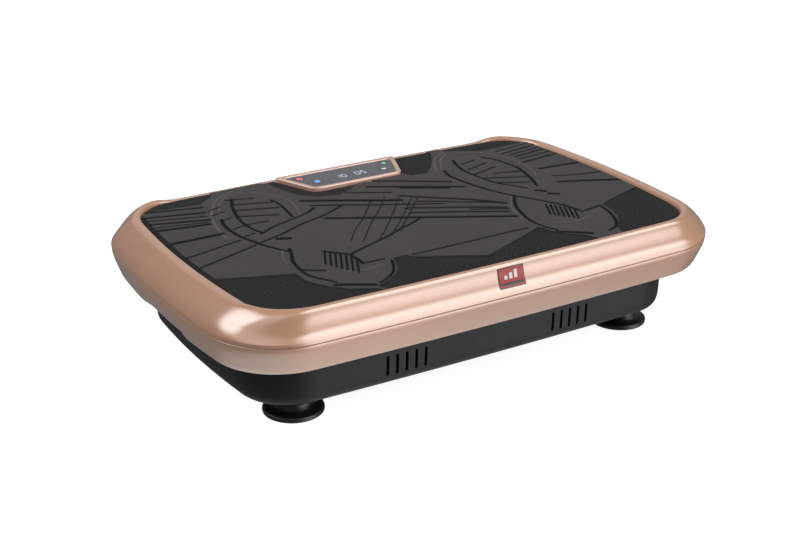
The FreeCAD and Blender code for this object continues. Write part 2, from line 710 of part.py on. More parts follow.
def mains_inlet():
    body = block(INLET_X - 13.8, INLET_X + 13.8, REAR_WALL - 26, REAR_WALL, PANEL_Z - 11.8, PANEL_Z + 11.8)
    flange = block(INLET_X - 17, INLET_X + 17, REAR_WALL, REAR_WALL + 2.5, PANEL_Z - 15, PANEL_Z + 15)
    low_z, high_z = PANEL_Z - 8.5, PANEL_Z + 8.5
    cavity = block(INLET_X - 11.8, INLET_X + 11.8, REAR_WALL - 16, REAR_WALL + 3, low_z, high_z)
    return body.fuse(flange).cut(cavity)


def inlet_pins():
    places = [(-7, -2), (0, 2), (7, -2)]
    pins = []
    for dx, dz in places:
        x, z = INLET_X + dx, PANEL_Z + dz
        pins.append(block(x - 1, x + 1, REAR_WALL - 16, REAR_WALL - 4, z - 2, z + 2))
    return pins


def fuse_holder():
    body = rod(6.3, (FUSE_X, REAR_WALL - 28, PANEL_Z), (FUSE_X, REAR_WALL, PANEL_Z))
    cap = rod(8.0, (FUSE_X, REAR_WALL, PANEL_Z), (FUSE_X, REAR_WALL + 4, PANEL_Z))
    slot = block(FUSE_X - 5, FUSE_X + 5, REAR_WALL + 2.5, REAR_WALL + 5, PANEL_Z - 0.8, PANEL_Z + 0.8)
    return body.fuse(cap).cut(slot)


def switch_housing():
    body = block(SWITCH_X - 10.8, SWITCH_X + 10.8, REAR_WALL - 24, REAR_WALL, PANEL_Z - 13.8, PANEL_Z + 13.8)
    flange = block(SWITCH_X - 13, SWITCH_X + 13, REAR_WALL, REAR_WALL + 2, PANEL_Z - 16, PANEL_Z + 16)
    low_z, high_z = PANEL_Z - 11.6, PANEL_Z + 11.6
    cavity = block(SWITCH_X - 8.6, SWITCH_X + 8.6, REAR_WALL - 18, REAR_WALL + 3, low_z, high_z)
    axle = rod(1.6, (SWITCH_X - 10, REAR_WALL - 4, PANEL_Z), (SWITCH_X + 10, REAR_WALL - 4, PANEL_Z))
    return body.fuse(flange).cut(cavity).cut(axle)


def power_rocker():
    """A paddle with a V-shaped face, tilted to its off side."""
    y = REAR_WALL - 4
    profile = [(-5, -7), (5.5, -9.5), (4, 0), (5.5, 9.5), (-5, 7)]
    points = [Vector(SWITCH_X - 8.2, y + dy, PANEL_Z + dz) for dy, dz in profile]
    paddle = Part.Face(Part.makePolygon(points + [points[0]])).extrude(Vector(16.4, 0, 0))
    axle = rod(1.5, (SWITCH_X - 9.8, y, PANEL_Z), (SWITCH_X + 9.8, y, PANEL_Z))
    return turned(paddle.fuse(axle), ROCKER_TILT, (SWITCH_X, y, PANEL_Z), X_AXIS)


# Leads inside the tray, held on the chassis.
MAINS_LEAD = [
    (INLET_X, REAR_WALL - 26, PANEL_Z), (INLET_X, REAR_WALL - 44, PANEL_Z),
    (INLET_X - 12, REAR_WALL - 60, PANEL_Z - 16), (INLET_X - 36, REAR_WALL - 58, CHASSIS_TOP + 5),
    (INLET_X - 66, REAR_WALL - 34, CHASSIS_TOP + 3.2),
    (38, REAR_WALL - 29, CHASSIS_TOP + 3.2), (-10, REAR_WALL - 27, CHASSIS_TOP + 3.2),
    (-62, REAR_WALL - 30, CHASSIS_TOP + 3.2), (-112, REAR_WALL - 40, CHASSIS_TOP + 3.6),
    (-148, REAR_WALL - 62, CHASSIS_TOP + 6), (-162, REAR_WALL - 84, CHASSIS_TOP + 12),
    (-162, 54, CHASSIS_TOP + 12),
]
MOTOR_LEAD = [
    (MOTOR_X - 20, CAN_BACK + CAP_THICK, DRIVE_Z), (MOTOR_X - 20, CAN_BACK + 20, DRIVE_Z),
    (MOTOR_X - 34, CAN_BACK + 32, DRIVE_Z - 16), (MOTOR_X - 60, CAN_BACK + 36, CHASSIS_TOP + 8),
    (MOTOR_X - 96, CAN_BACK + 30, CHASSIS_TOP + 4),
    (80, CAN_BACK + 20, CHASSIS_TOP + 4), (30, CAN_BACK + 2, CHASSIS_TOP + 4),
    (-20, CAN_BACK - 14, CHASSIS_TOP + 4), (-70, CAN_BACK - 22, CHASSIS_TOP + 6),
    (-110, CAN_BACK - 18, CHASSIS_TOP + 12), (-150, CAN_BACK - 18, CHASSIS_TOP + 12),
]


# Write every node -----------------------------------------------------------------------------

sides = (-1, 1)

write("top_shell", top_shell())
write("lower_rim", lower_rim())
write("mat", mat())
write("display_bezel", display_bezel())
write("display_window", display_window())
write("display_board", display_board())
digits_x, digits_y = DIGITS_AT
digits = block(digits_x - 29, digits_x + 29, digits_y - 8.5, digits_y + 8.5, BOARD_TOP, WINDOW_BOTTOM - 0.3)
write("display_digits", digits)
for name, (key_x, key_y) in KEYS.items():
    write(name, key(key_x, key_y))
write("badge", badge())
write("deck_plate", deck_plate())
write("deck_rails", *[deck_rail(side) for side in sides])
write("deck_screws", *[screw(x, y, DECK_BOTTOM, 2.6, 10.5, 5.0, 3.5) for x, y in deck_bosses()])
write("rim_screws", *[screw(x, y, RIM_TOP[3] - 2.6, 2.1, 8.0, 4.0, 2.6) for x, y in rim_screw_places()])
write("pivot_brackets", *[pivot_bracket(side) for side in sides])
write("pivot_shaft", pivot_shaft())
write("pivot_circlips", *[pivot_circlip(side) for side in sides])
write("conrod_clevis", conrod_clevis())
write("clevis_pin", clevis_pin())

write("eccentric_shaft", eccentric_shaft())
write("drive_pulley", grooved_pulley(DRIVE_X, DRIVE_PULLEY, DRIVE_RADIUS, 14.0))
write("drive_inner_rings", *[bearing_ring(side, BEARING_INNER, DRIVE_RADIUS) for side in sides])
write("conrod", conrod())
write("big_end_bush", big_end_bush())

write("motor_shaft", on_motor(SHAFT_RADIUS, -64, 74))
write("armature", armature())
write("commutator", commutator())
write("motor_pulley", grooved_pulley(MOTOR_X, MOTOR_PULLEY, SHAFT_RADIUS, 0))

write("base_tray", base_tray())
write("chassis_plate", chassis_plate())
for sx, sy in CORNERS:
    write(f"foot_{'front' if sy < 0 else 'rear'}_{'left' if sx < 0 else 'right'}", foot(sx, sy))
write("foot_screws", *[part for sx, sy in CORNERS for part in foot_screw(sx, sy)])
write("pivot_blocks", *[pivot_block(side) for side in sides])
write("pivot_bushes", *[pivot_bush(side) for side in sides])
write("drive_blocks", *[drive_block(side) for side in sides])
write("drive_outer_rings", *[bearing_ring(side, BEARING_OUTER, BEARING_OUTER - 2.5) for side in sides])
write("drive_balls", *[ball for side in sides for ball in bearing_balls(side)])
write("drive_belt", belt_loop(BELT_THICK).cut(belt_loop(0.0)))
write("motor_can", motor_can())
front_cap = motor_end_cap(CAN_FRONT - CAP_THICK, CAN_FRONT, 1)
rear_cap = motor_end_cap(CAN_BACK, CAN_BACK + CAP_THICK, -1)
write("motor_end_caps", front_cap, rear_cap)
write("motor_magnets", *[motor_magnet(side) for side in sides])
write("motor_brushes", *[motor_brush(side) for side in sides])
write("motor_bracket", motor_bracket())
write("motor_clamps", motor_clamp(-30), motor_clamp(50))
write("control_board", control_board())
write("heatsink", heatsink())
write("capacitors", *capacitors())
write("transformer", transformer())
write("mains_inlet", mains_inlet())
write("inlet_pins", *inlet_pins())
write("fuse_holder", fuse_holder())
write("switch_housing", switch_housing())
write("power_rocker", power_rocker())
write("mains_lead", lead(3.0, MAINS_LEAD))
write("motor_lead", lead(2.0, MOTOR_LEAD))
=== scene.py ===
import json
import math

import bmesh
import bpy
import numpy as np
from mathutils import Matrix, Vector
from mathutils.geometry import delaunay_2d_cdt


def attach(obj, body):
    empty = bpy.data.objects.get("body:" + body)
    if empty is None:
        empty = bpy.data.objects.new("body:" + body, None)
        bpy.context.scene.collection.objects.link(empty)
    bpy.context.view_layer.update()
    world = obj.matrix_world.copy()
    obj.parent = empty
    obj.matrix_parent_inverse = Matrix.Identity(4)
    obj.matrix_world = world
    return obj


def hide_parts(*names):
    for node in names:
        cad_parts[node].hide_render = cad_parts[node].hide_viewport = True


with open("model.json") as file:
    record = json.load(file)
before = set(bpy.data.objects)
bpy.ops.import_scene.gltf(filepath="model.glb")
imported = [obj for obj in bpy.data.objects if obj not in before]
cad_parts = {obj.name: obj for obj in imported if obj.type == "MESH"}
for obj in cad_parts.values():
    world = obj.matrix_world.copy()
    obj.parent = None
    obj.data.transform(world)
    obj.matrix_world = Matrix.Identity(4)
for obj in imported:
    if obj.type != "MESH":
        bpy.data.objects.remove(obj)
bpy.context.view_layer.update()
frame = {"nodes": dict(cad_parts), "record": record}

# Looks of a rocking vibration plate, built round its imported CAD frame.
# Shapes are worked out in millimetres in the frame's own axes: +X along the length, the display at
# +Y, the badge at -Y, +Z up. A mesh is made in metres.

MM = 0.001
RECORD = frame["record"]
BODY_OF = {node: body for body, nodes in RECORD["behaviour"]["bodies"].items() for node in nodes}
SLOT_OF = {part["node"]: part["material_slot"] for part in RECORD["subparts"]}

# Driving dimensions ----

# Bow of the long outlines, and how many spans each arc of a quarter outline has.
END_BOW = 1250
SIDE_BOW = 9000
END_SPANS = 24
CORNER_SPANS = 20
SIDE_SPANS = 12

# Sections of the top shell: (half length, half width, corner radius, height at sides, at ends).
SHELL_INSIDE = [
    (316, 196, 74, 137, 137), (319, 198, 76, 131, 131),
    (326, 207, 82, 120.6, 120.6), (326.4, 207.4, 82.4, 117.8, 117.8),
]
SHELL_OUTSIDE = [
    (328.8, 209.8, 84.8, 117.4, 117.4), (329.9, 210.9, 85.9, 117.7, 117.7),
    (329.9, 210.9, 85.9, 119.4, 119.4), (329.9, 210.9, 85.6, 121, 121),
    (329.5, 210.4, 85, 121.5, 122.4), (327.9, 207.9, 83.4, 123.4, 125.6),
    (326.1, 205.5, 81.4, 125.9, 128.4), (324.3, 203.4, 79.8, 129.3, 130.8),
    (322.3, 201.7, 78.2, 133.6, 133), (319.8, 200.3, 76.4, 138.2, 135.6),
    (316.6, 199.1, 74.6, 142.8, 138.5), (312.8, 197.6, 72.6, 146.8, 141.6),
    (308.6, 195.8, 70.4, 149.2, 144.7), (304.6, 193.9, 68.4, 150.2, 147.4),
    (300.6, 192, 66, 150.3, 149.2), (296.4, 190.4, 63.4, 149.7, 148.8),
    (293.4, 189.1, 60.6, 148.4, 147.3), (291.8, 188.3, 58.6, 146.8, 145.6),
    (291, 188, 57.6, 144, 143.4),
]
POCKET_FLOOR = (291, 188, 57.6, 141, 141)

# The ends' own slope gives way to the sides' over these distances from the long axis. Raised corners
# stop along a line across the ledge, and between them it is lower. Along the back the crest is lower.
END_SLOPE = (156, 200)
PAD_INNER = (293, 142)
PAD_OUTER = (309, 92)
LEDGE_LOW = 146.9
LEDGE_SHARE = 0.55
PAD_BLEND = 4
BACK_CREST = 143.4
BACK_START = (150, 175)
BACK_END = (206, 256)

# Sections of the lower rim, of the tray, and the grip under each short end.
RIM_OUTSIDE = [
    (309, 188, 72, 80.5), (315, 193.6, 76, 80.6), (319, 197.4, 78, 82),
    (321.6, 200, 79.4, 86.5), (324.2, 203.2, 81, 94), (327.2, 206.9, 83, 103),
    (329.2, 209.8, 85, 110.5), (329.9, 210.9, 86, 115.8), (329.6, 210.6, 85.7, 116.6),
    (328.2, 209.2, 84.6, 117),
]
RIM_INSIDE = [(326.4, 207.4, 83, 117), (317.6, 196.6, 76, 87), (306, 185, 68, 83.7)]
GRIP_HALF = 50
GRIP_BLEND = 14
GRIP_FADE = 20
GRIP_DEPTH = 3.5
GRIP_TOP = 104
TRAY_OUTSIDE = [
    (288.8, 169.8, 71, 88), (288.4, 169.4, 70.6, 64), (288, 169, 70, 42),
    (286.6, 167.6, 67, 33), (282.4, 163.4, 59, 26.6), (275, 156, 48, 23),
    (266, 147, 40, 22.6),
]
TRAY_INSIDE = [(266, 147, 40, 25.4), (280, 161, 56, 29.5), (285, 166, 67, 42), (285.6, 166.6, 68, 88)]

# Vents in the tray's front wall and the panel in its rear wall, as in the frame.
VENT_X = 110
VENT_COUNT = 5
VENT_PITCH = 12
VENT_WIDTH = 3.6
VENT_LOW = 37
VENT_HIGH = 61
PANEL_Z = 62
FRONT_WALL = (-185, -150)
REAR_WALL = (150, 185)
# The inlet's, the switch's and the fuse's opening: (x, half width, half height, corner radius).
PANEL_CUTS = [(150, 14, 12, 0.6), (192, 11, 14, 0.6), (112, 6.5, 6.5, 6.45)]
FEET = {"foot_front_left": (-224, -119.5), "foot_front_right": (224, -119.5),
        "foot_rear_left": (-224, 119.5), "foot_rear_right": (224, 119.5)}
FOOT_BORE = 4.2

# Mat and the notch that holds the display.
MAT = (290, 187, 56.5)
MAT_BOTTOM = 141
MAT_TOP = 147
NOTCH_BACK = 88
NOTCH_FRONT = 63
NOTCH_Y = 123
NOTCH_CORNER = 13

# Keys, each with its centre and its light, then digits and badge.
KEYS = {
    "power_key": (-61.5, 167.5, "glow_red"), "mode_key": (-46.5, 148, "glow_blue"),
    "faster_key": (61.5, 167.5, "glow_green"), "slower_key": (50, 148, "glow_white"),
}
KEY_TOP = 149.6
DIGITS_AT = (4, 151)
PANE_TOP = 149.2
BADGE_X = 1
BADGE_Z = 135.7

# Relief of the mat.
GROOVE_DEPTH = 2.4
FINE_WIDTH = 2.2
FINE_DEPTH = 1.1
BAR_DEPTH = 2
RIDGE = 0.45
ZONE_DEPTH = 1.5
BEVEL = 0.7
STUD_HALF = 2.1
STUD_RISE = 0.9
EDGE_ROUND = 1.4
STUD_PITCH = 7.6
END_STRIP = 4.2
PAST_END = 300


# Points and meshes ----

SQUARE = ((-1, -1), (1, -1), (1, 1), (-1, 1))


def sweep(centre, radius, start, end, spans):
    """Points on an arc, without its first point."""
    turns = [start + (end - start) * step / spans for step in range(1, spans + 1)]
    return [(centre[0] + radius * math.cos(t), centre[1] + radius * math.sin(t)) for t in turns]


def outline(half_x, half_y, corner, z):
    """Points round a rounded rectangle whose four sides bow out a little."""
    end_centre = Vector((half_x - END_BOW, 0))
    side_centre = Vector((0, half_y - SIDE_BOW))
    end_reach = END_BOW - corner
    side_reach = SIDE_BOW - corner
    between = side_centre - end_centre
    along = (between.length**2 + end_reach**2 - side_reach**2) / (2 * between.length)
    across = math.sqrt(end_reach**2 - along**2)
    unit = between.normalized()
    centre = end_centre + unit * along + Vector((-unit.y, unit.x)) * across
    end_turn = math.atan2(centre.y, centre.x - end_centre.x)
    side_turn = math.atan2(centre.y - side_centre.y, centre.x)
    quarter = [(half_x, 0)]
    quarter += sweep(end_centre, END_BOW, 0, end_turn, END_SPANS)
    quarter += sweep(centre, corner, end_turn, side_turn, CORNER_SPANS)
    quarter += sweep(side_centre, SIDE_BOW, side_turn, math.pi / 2, SIDE_SPANS)
    half = quarter + [(-x, y) for x, y in reversed(quarter[:-1])]
    whole = half + [(x, -y) for x, y in reversed(half[1:-1])]
    return [Vector((x, y, z)) for x, y in whole]


def rounded(keys, passes=2):
    """Cuts the corners off a run of keys, which rounds it and keeps its two ends."""
    for _ in range(passes):
        cut = [keys[0]]
        for first, last in zip(keys, keys[1:]):
            for share in (0.25, 0.75):
                cut.append(tuple(a + (b - a) * share for a, b in zip(first, last)))
        keys = cut + [keys[-1]]
    return keys


def rounded_polygon(corners, spans=8):
    """Points round a polygon of (x, y, radius) corners, each turned by an arc."""
    points = []
    count = len(corners)
    for index, (x, y, radius) in enumerate(corners):
        here = Vector((x, y))
        before = (Vector(corners[index - 1][:2]) - here).normalized()
        after = (Vector(corners[(index + 1) % count][:2]) - here).normalized()
        half_angle = before.angle(after) / 2
        centre = here + (before + after).normalized() * radius / math.sin(half_angle)
        start = here + before * radius / math.tan(half_angle) - centre
        end = here + after * radius / math.tan(half_angle) - centre
        turn = math.atan2(start.x * end.y - start.y * end.x, start.dot(end))
        first = math.atan2(start.y, start.x)
        for step in range(spans + 1):
            angle = first + turn * step / spans
            points.append((centre.x + radius * math.cos(angle), centre.y + radius * math.sin(angle)))
    return points


def notch_corners(inset, back_y):
    """The right-hand corners of the notch's outline as (x, y, radius): in front, then at the back."""
    slope = (NOTCH_BACK - NOTCH_FRONT) / (MAT[1] - NOTCH_Y)
    side = inset * math.hypot(1, slope)
    front = NOTCH_FRONT + slope * inset - side
    back = NOTCH_FRONT + slope * (back_y - NOTCH_Y) - side
    return [(front, NOTCH_Y + inset, max(NOTCH_CORNER - inset, 3)), (back, back_y, 3)]


def mirrored(corners):
    """The same corners, and after them the left-hand ones back to the start."""
    return corners + [(-x, y, radius) for x, y, radius in reversed(corners)]


def notch(inset, back_y, z):
    """Points round the display: narrow at the front, wide at the back."""
    return [Vector((x, y, z)) for x, y in rounded_polygon(mirrored(notch_corners(inset, back_y)))]


def circle(radius, centre, z, count=64):
    turns = [2 * math.pi * step / count for step in range(count)]
    return [Vector((centre[0] + radius * math.cos(t), centre[1] + radius * math.sin(t), z)) for t in turns]


def skin(rings, joined_up=False):
    """Vertices and faces of a skin through rings of one count, capped or joined up in a loop."""
    count = len(rings[0])
    vertices = [point for ring in rings for point in ring]
    spans = len(rings) if joined_up else len(rings) - 1
    faces = []
    for row in range(spans):
        low = row * count
        high = (row + 1) % len(rings) * count
        for index in range(count):
            after = (index + 1) % count
            faces.append((low + index, low + after, high + after, high + index))
    if not joined_up:
        faces.append(tuple(range(count)))
        faces.append(tuple(range(len(vertices) - count, len(vertices))))
    return vertices, faces


def joined(*meshes):
    """One mesh from several (vertices, faces)."""
    vertices, faces = [], []
    for some_vertices, some_faces in meshes:
        start = len(vertices)
        vertices += some_vertices
        faces += [tuple(start + corner for corner in face) for face in some_faces]
    return vertices, faces


def put(name, mesh, finish, sharp_above=32):
    """Adds an object for a mesh in metres, smooth but for its sharp edges."""
    mesh.shade_smooth()
    mesh.set_sharp_from_angle(angle=math.radians(sharp_above))
    mesh.materials.append(FINISHES[finish])
    piece = bpy.data.objects.new(name, mesh)
    bpy.context.scene.collection.objects.link(piece)
    return piece


def add_piece(name, mesh_data, finish):
    """Adds an object from points in millimetres, with its faces outward."""
    vertices, faces = mesh_data
    mesh = bpy.data.meshes.new(name)
    mesh.from_pydata([tuple(point * MM for point in vertex) for vertex in vertices], [], faces)
    work = bmesh.new()
    work.from_mesh(mesh)
    bmesh.ops.recalc_face_normals(work, faces=work.faces)
    work.to_mesh(mesh)
    work.free()
    return put(name, mesh, finish)


def go_with(piece, node):
    """The piece is a detail that rides on a CAD node's body."""
    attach(piece, BODY_OF[node])


def stand_for(piece, node):
    """The piece rides with the CAD node that it stands for, which it hides."""
    go_with(piece, node)
    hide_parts(node)


def prism(points, z0, z1):
    """A closed mesh between two heights over a plan outline."""
    low = [Vector((x, y, z0)) for x, y in points]
    high = [Vector((x, y, z1)) for x, y in points]
    return skin([low, high])


def cut_from(piece, cutter_data, finish):
    """Cuts a closed mesh out of a piece."""
    cutter = add_piece("cutter", cutter_data, finish)
    boolean = piece.modifiers.new("cut", "BOOLEAN")
    boolean.operation = "DIFFERENCE"
    boolean.solver = "EXACT"
    boolean.object = cutter
    depsgraph = bpy.context.evaluated_depsgraph_get()
    mesh = bpy.data.meshes.new_from_object(piece.evaluated_get(depsgraph))
    piece.modifiers.clear()
    piece.data = mesh
    mesh.shade_smooth()
    mesh.set_sharp_from_angle(angle=math.radians(32))
    bpy.data.objects.remove(cutter)


# Materials ----


def add_node(tree, kind, inputs=(), **settings):
    """Adds a node whose inputs are each linked to a socket or set to a value."""
    made = tree.nodes.new(kind)
    for name, value in settings.items():
        setattr(made, name, value)
    for name, value in dict(inputs).items():
        if isinstance(value, bpy.types.NodeSocket):
            tree.links.new(value, made.inputs[name])
        else:
            made.inputs[name].default_value = value
    return made


class Finish:
    """A node material under construction, in object coordinates."""

    def __init__(self, name, **sockets):
        self.material = bpy.data.materials.new(name)
        self.material.use_nodes = True
        self.tree = self.material.node_tree
        self.shader = self.tree.nodes["Principled BSDF"]
        for socket, value in sockets.items():
            self.shader.inputs[socket.replace("_", " ")].default_value = value
        self.place = self.node("ShaderNodeTexCoord").outputs["Object"]

    def node(self, kind, inputs=(), **settings):
        return add_node(self.tree, kind, inputs, **settings)

    def noise(self, scale, detail=3, roughness=0.55, place=None):
        inputs = {"Vector": place or self.place, "Scale": scale, "Detail": detail, "Roughness": roughness}
        return self.node("ShaderNodeTexNoise", inputs).outputs["Fac"]

    def ramp(self, factor, stops):
        made = self.node("ShaderNodeValToRGB", {"Fac": factor})
        elements = made.color_ramp.elements
        while len(elements) < len(stops):
            elements.new(0.5)
        for element, (position, colour) in zip(elements, stops):
            element.position = position
            element.color = (*colour, 1)
        return made.outputs["Color"]

    def shades(self, factor, colour, spread):
        """Drifts between a darker and a lighter shade of one colour."""
        dark, light = (tuple(part * (1 + change) for part in colour) for change in (-spread, spread))
        return self.ramp(factor, [(0.3, dark), (0.7, light)])

    def span(self, factor, low, high, start=0, end=1):
        inputs = {"Value": factor, "From Min": start, "From Max": end, "To Min": low, "To Max": high}
        return self.node("ShaderNodeMapRange", inputs).outputs["Result"]

    def feed(self, **sockets):
        """Links sockets to the shader's inputs."""
        for name, socket in sockets.items():
            self.tree.links.new(socket, self.shader.inputs[name.replace("_", " ")])

    def bump(self, *layers):
        """Layers of (height, distance in metres), one over the other."""
        normal = None
        for height, distance in layers:
            inputs = {"Height": height, "Distance": distance}
            if normal:
                inputs["Normal"] = normal
            normal = self.node("ShaderNodeBump", inputs).outputs["Normal"]
        self.feed(Normal=normal)


def plain_finish(name, colour, rough, spread=0.12, grain=900, depth=0.00002, patch=14, **sockets):
    """A moulded, cast or machined surface: drifting colour, uneven gloss and a fine grain."""
    finish = Finish(name, **sockets)
    uneven = finish.noise(patch * 9, 3)
    finish.feed(Base_Color=finish.shades(finish.noise(patch, 4), colour, spread),
                Roughness=finish.span(uneven, rough * 0.85, min(rough * 1.15, 1)))
    finish.bump((finish.noise(grain, 2), depth))
    return finish.material


def brushed_finish(name, colour, rough, stretch=(1, 60, 60)):
    """Turned or ground metal, with fine lines across one axis."""
    finish = Finish(name, Metallic=1)
    mapping = finish.node("ShaderNodeMapping", {"Vector": finish.place, "Scale": stretch})
    lines = finish.noise(40, 3, 0.5, mapping.outputs["Vector"])
    finish.feed(Base_Color=finish.shades(lines, colour, 0.14),
                Roughness=finish.span(lines, rough * 0.75, rough * 1.3))
    finish.bump((lines, 0.00001))
    return finish.material


def paint_finish(name, colour, rough):
    """Pearl paint under a clear coat, with fine flakes and a faint orange peel."""
    finish = Finish(name, Metallic=0.08, Coat_Weight=1, Coat_Roughness=0.15, Coat_IOR=1.9)
    flakes = finish.noise(2600, 1)
    finish.feed(Base_Color=finish.shades(finish.noise(9, 3), colour, 0.04),
                Roughness=finish.span(flakes, rough - 0.05, rough + 0.07))
    finish.bump((flakes, 0.000006), (finish.noise(220, 1), 0.00001))
    return finish.material


def mat_finish():
    """Moulded rubber: satin on its raised faces and dull where it is low; its colour carries painted shade
    that darkens the grooves and low areas, and a painted highlight on the raised ridges and studs.
    """
    finish = Finish("mat_rubber", Specular_IOR_Level=0.3)
    height = finish.node("ShaderNodeSeparateXYZ", {"Vector": finish.place}).outputs["Z"]
    level = finish.span(height, 0, 1, (MAT_TOP - GROOVE_DEPTH) * MM, (MAT_TOP + RIDGE) * MM)
    drift = finish.span(finish.noise(18, 4), -0.07, 0.07)
    uneven = finish.node("ShaderNodeMath", {0: level, 1: drift}, operation="ADD")
    # Painted shade and painted highlight by height: darkest on the grooves' floors, dark in the low areas,
    # lighter on the flat face and lightest on the ridges and studs.
    stops = [(0, (0.008, 0.0075, 0.008)), (0.42, (0.012, 0.0112, 0.012)), (0.85, (0.046, 0.042, 0.043)),
             (0.93, (0.052, 0.047, 0.048)), (1, (0.080, 0.074, 0.076))]
    finish.feed(Base_Color=finish.ramp(uneven.outputs["Value"], stops),
                Roughness=finish.span(level, 0.85, 0.55))
    finish.bump((finish.noise(1500, 2), 0.00004), (finish.noise(160, 2), 0.00003))
    return finish.material


def glowing_finish(name, colour, strength):
    """A lit symbol whose glow drifts a little in colour and brightness."""
    finish = Finish(name, Roughness=0.4, Emission_Strength=strength)
    glow = finish.shades(finish.noise(900, 1), colour, 0.15)
    finish.feed(Base_Color=glow, Emission_Color=glow)
    return finish.material


def pane_finish():
    """Smoked, slightly bluish acrylic."""
    finish = Finish("display_pane", Transmission_Weight=0.55, IOR=1.49, Coat_Weight=0.3)
    stops = [(0.3, (0.105, 0.108, 0.135)), (0.7, (0.13, 0.134, 0.165))]
    finish.feed(Base_Color=finish.ramp(finish.noise(40, 2), stops),
                Roughness=finish.span(finish.noise(300, 2), 0.06, 0.14))
    return finish.material


# Colour, roughness, spread of shade, then the grain's fineness and its depth in metres.
PLAIN = {
    "foot_rubber": ((0.007, 0.0068, 0.007), 0.38, 0.15, 700),
    "led_module": ((0.02, 0.02, 0.024), 0.4),
    "key_caps": ((0.11, 0.11, 0.125), 0.3, 0.08, 900, 0.00001),
    "badge_dark": ((0.03, 0.024, 0.026), 0.35, 0.1, 600, 0.00001),
    "badge_pale": ((0.62, 0.60, 0.58), 0.35, 0.08, 600, 0.00001),
    "badge_red": ((0.30, 0.014, 0.013), 0.32, 0.15, 500, 0.00001, 90),
    "circuit_board": ((0.02, 0.075, 0.04), 0.45),
    "belt_rubber": ((0.02, 0.02, 0.02), 0.7, 0.2, 600, 0.00008),
    "motor_paint": ((0.03, 0.032, 0.036), 0.4, 0.12, 250, 0.00006),
    "ferrite": ((0.05, 0.05, 0.052), 0.6, 0.2, 500, 0.00005),
    "carbon": ((0.03, 0.03, 0.03), 0.55, 0.25, 700, 0.00005),
    "capacitor_sleeve": ((0.02, 0.03, 0.09), 0.3),
    "connector_plastic": ((0.018, 0.018, 0.019), 0.42, 0.12, 1200, 0.00003),
    "rocker_red": ((0.40, 0.02, 0.018), 0.28, 0.1, 900, 0.00001),
    "lead_sheath": ((0.015, 0.015, 0.016), 0.5),
    "motor_lead_sheath": ((0.34, 0.03, 0.02), 0.45),
}

# The same for rolled, cast and plated metal, after how metallic it is.
METAL = {
    "deck_steel": (0.9, (0.30, 0.30, 0.31), 0.45, 0.15, 400),
    "chassis_steel": (1, (0.42, 0.42, 0.43), 0.38, 0.15, 300),
    "cast_blocks": (0.8, (0.20, 0.20, 0.21), 0.55, 0.15, 350, 0.0001),
    "fasteners": (1, (0.45, 0.45, 0.44), 0.3, 0.12, 500),
}

# Colour, roughness and how much the lines are stretched along each axis.
BRUSHED = {
    "shaft_steel": ((0.55, 0.55, 0.56), 0.28, (60, 1, 60)),
    "bronze": ((0.50, 0.32, 0.14), 0.34),
    "alloy": ((0.60, 0.60, 0.61), 0.35),
    "laminations": ((0.28, 0.28, 0.29), 0.45, (1, 90, 1)),
    "copper": ((0.72, 0.36, 0.20), 0.3, (1, 60, 1)),
    "pin_metal": ((0.62, 0.60, 0.55), 0.25),
}

# Colour and strength of what is lit.
GLOW = {
    "glow_red": ((1, 0.12, 0.14), 0.9),
    "glow_blue": ((0.12, 0.38, 1), 1.1),
    "glow_green": ((0.12, 0.75, 0.45), 0.7),
    "glow_white": ((0.75, 0.80, 0.9), 0.8),
    "glow_digits": ((0.42, 0.50, 0.60), 0.8),
}


def make_finishes():
    tray = ((0.017, 0.0155, 0.0168), 0.5, 0.1, 1400, 0.00005)
    floor = ((0.42, 0.42, 0.42), 0.9, 0.01, 60, 0.00001)
    made = {
        "rose_gold": paint_finish("rose_gold", (0.50, 0.267, 0.165), 0.34),
        "rose_gold_trim": paint_finish("rose_gold_trim", (0.58, 0.34, 0.245), 0.26),
        "mat_rubber": mat_finish(),
        "display_pane": pane_finish(),
        "tray_plastic": plain_finish("tray_plastic", *tray, Specular_IOR_Level=0.2),
        "floor": plain_finish("floor", *floor, Specular_IOR_Level=0, Emission_Color=(1, 1, 1, 1),
                              Emission_Strength=0.92),
    }
    for maker, rows in ((plain_finish, PLAIN), (brushed_finish, BRUSHED), (glowing_finish, GLOW)):
        made.update({name: maker(name, *row) for name, row in rows.items()})
    for name, (metallic, *row) in METAL.items():
        made[name] = plain_finish(name, *row, Metallic=metallic)
    return made


FINISHES = make_finishes()


# CAD nodes seen close up whose edges are rounded: by how many millimetres, above which angle.
ROUNDED_NODES = ("power_rocker", "switch_housing", "mains_inlet")
NODE_ROUND = 0.35
NODE_ROUND_ABOVE = 50


def finish_frame_nodes():
    """Every CAD node that stays gets the finish of its slot."""
    for node, piece in frame["nodes"].items():
        piece.data.materials.clear()
        piece.data.materials.append(FINISHES[SLOT_OF[node]])
        piece.data.set_sharp_from_angle(angle=math.radians(30))
    for node in ROUNDED_NODES:
        bevel = frame["nodes"][node].modifiers.new("bevel", "BEVEL")
        bevel.width = NODE_ROUND * MM
        bevel.segments = 2
        bevel.limit_method = "ANGLE"
        bevel.angle_limit = math.radians(NODE_ROUND_ABOVE)


# Camera, light and floor ----


# Patches of brightness round the studio: (direction, outer and inner radius in degrees, strength).
ROOM_LIGHT = [
    ((0.48, -0.84, 0.18), 24, 10, 1.2),
    ((0.48, -0.48, 0.73), 30, 10, 4.2),
    ((0.48, 0.79, 0.38), 30, 8, 0.25),
    ((-0.62, 0.33, 0.71), 24, 7, 4.7),
    ((0, 0, -1), 56, 8, 0.95),
    ((0.48, -0.80, -0.28), 34, 2, 3),
    ((-0.55, -0.25, 0.80), 35, 10, 0.8),
]

# How bright the room is apart from them, and half the floor's side.
ROOM_LEVEL = 0.19
FLOOR_HALF = 6000

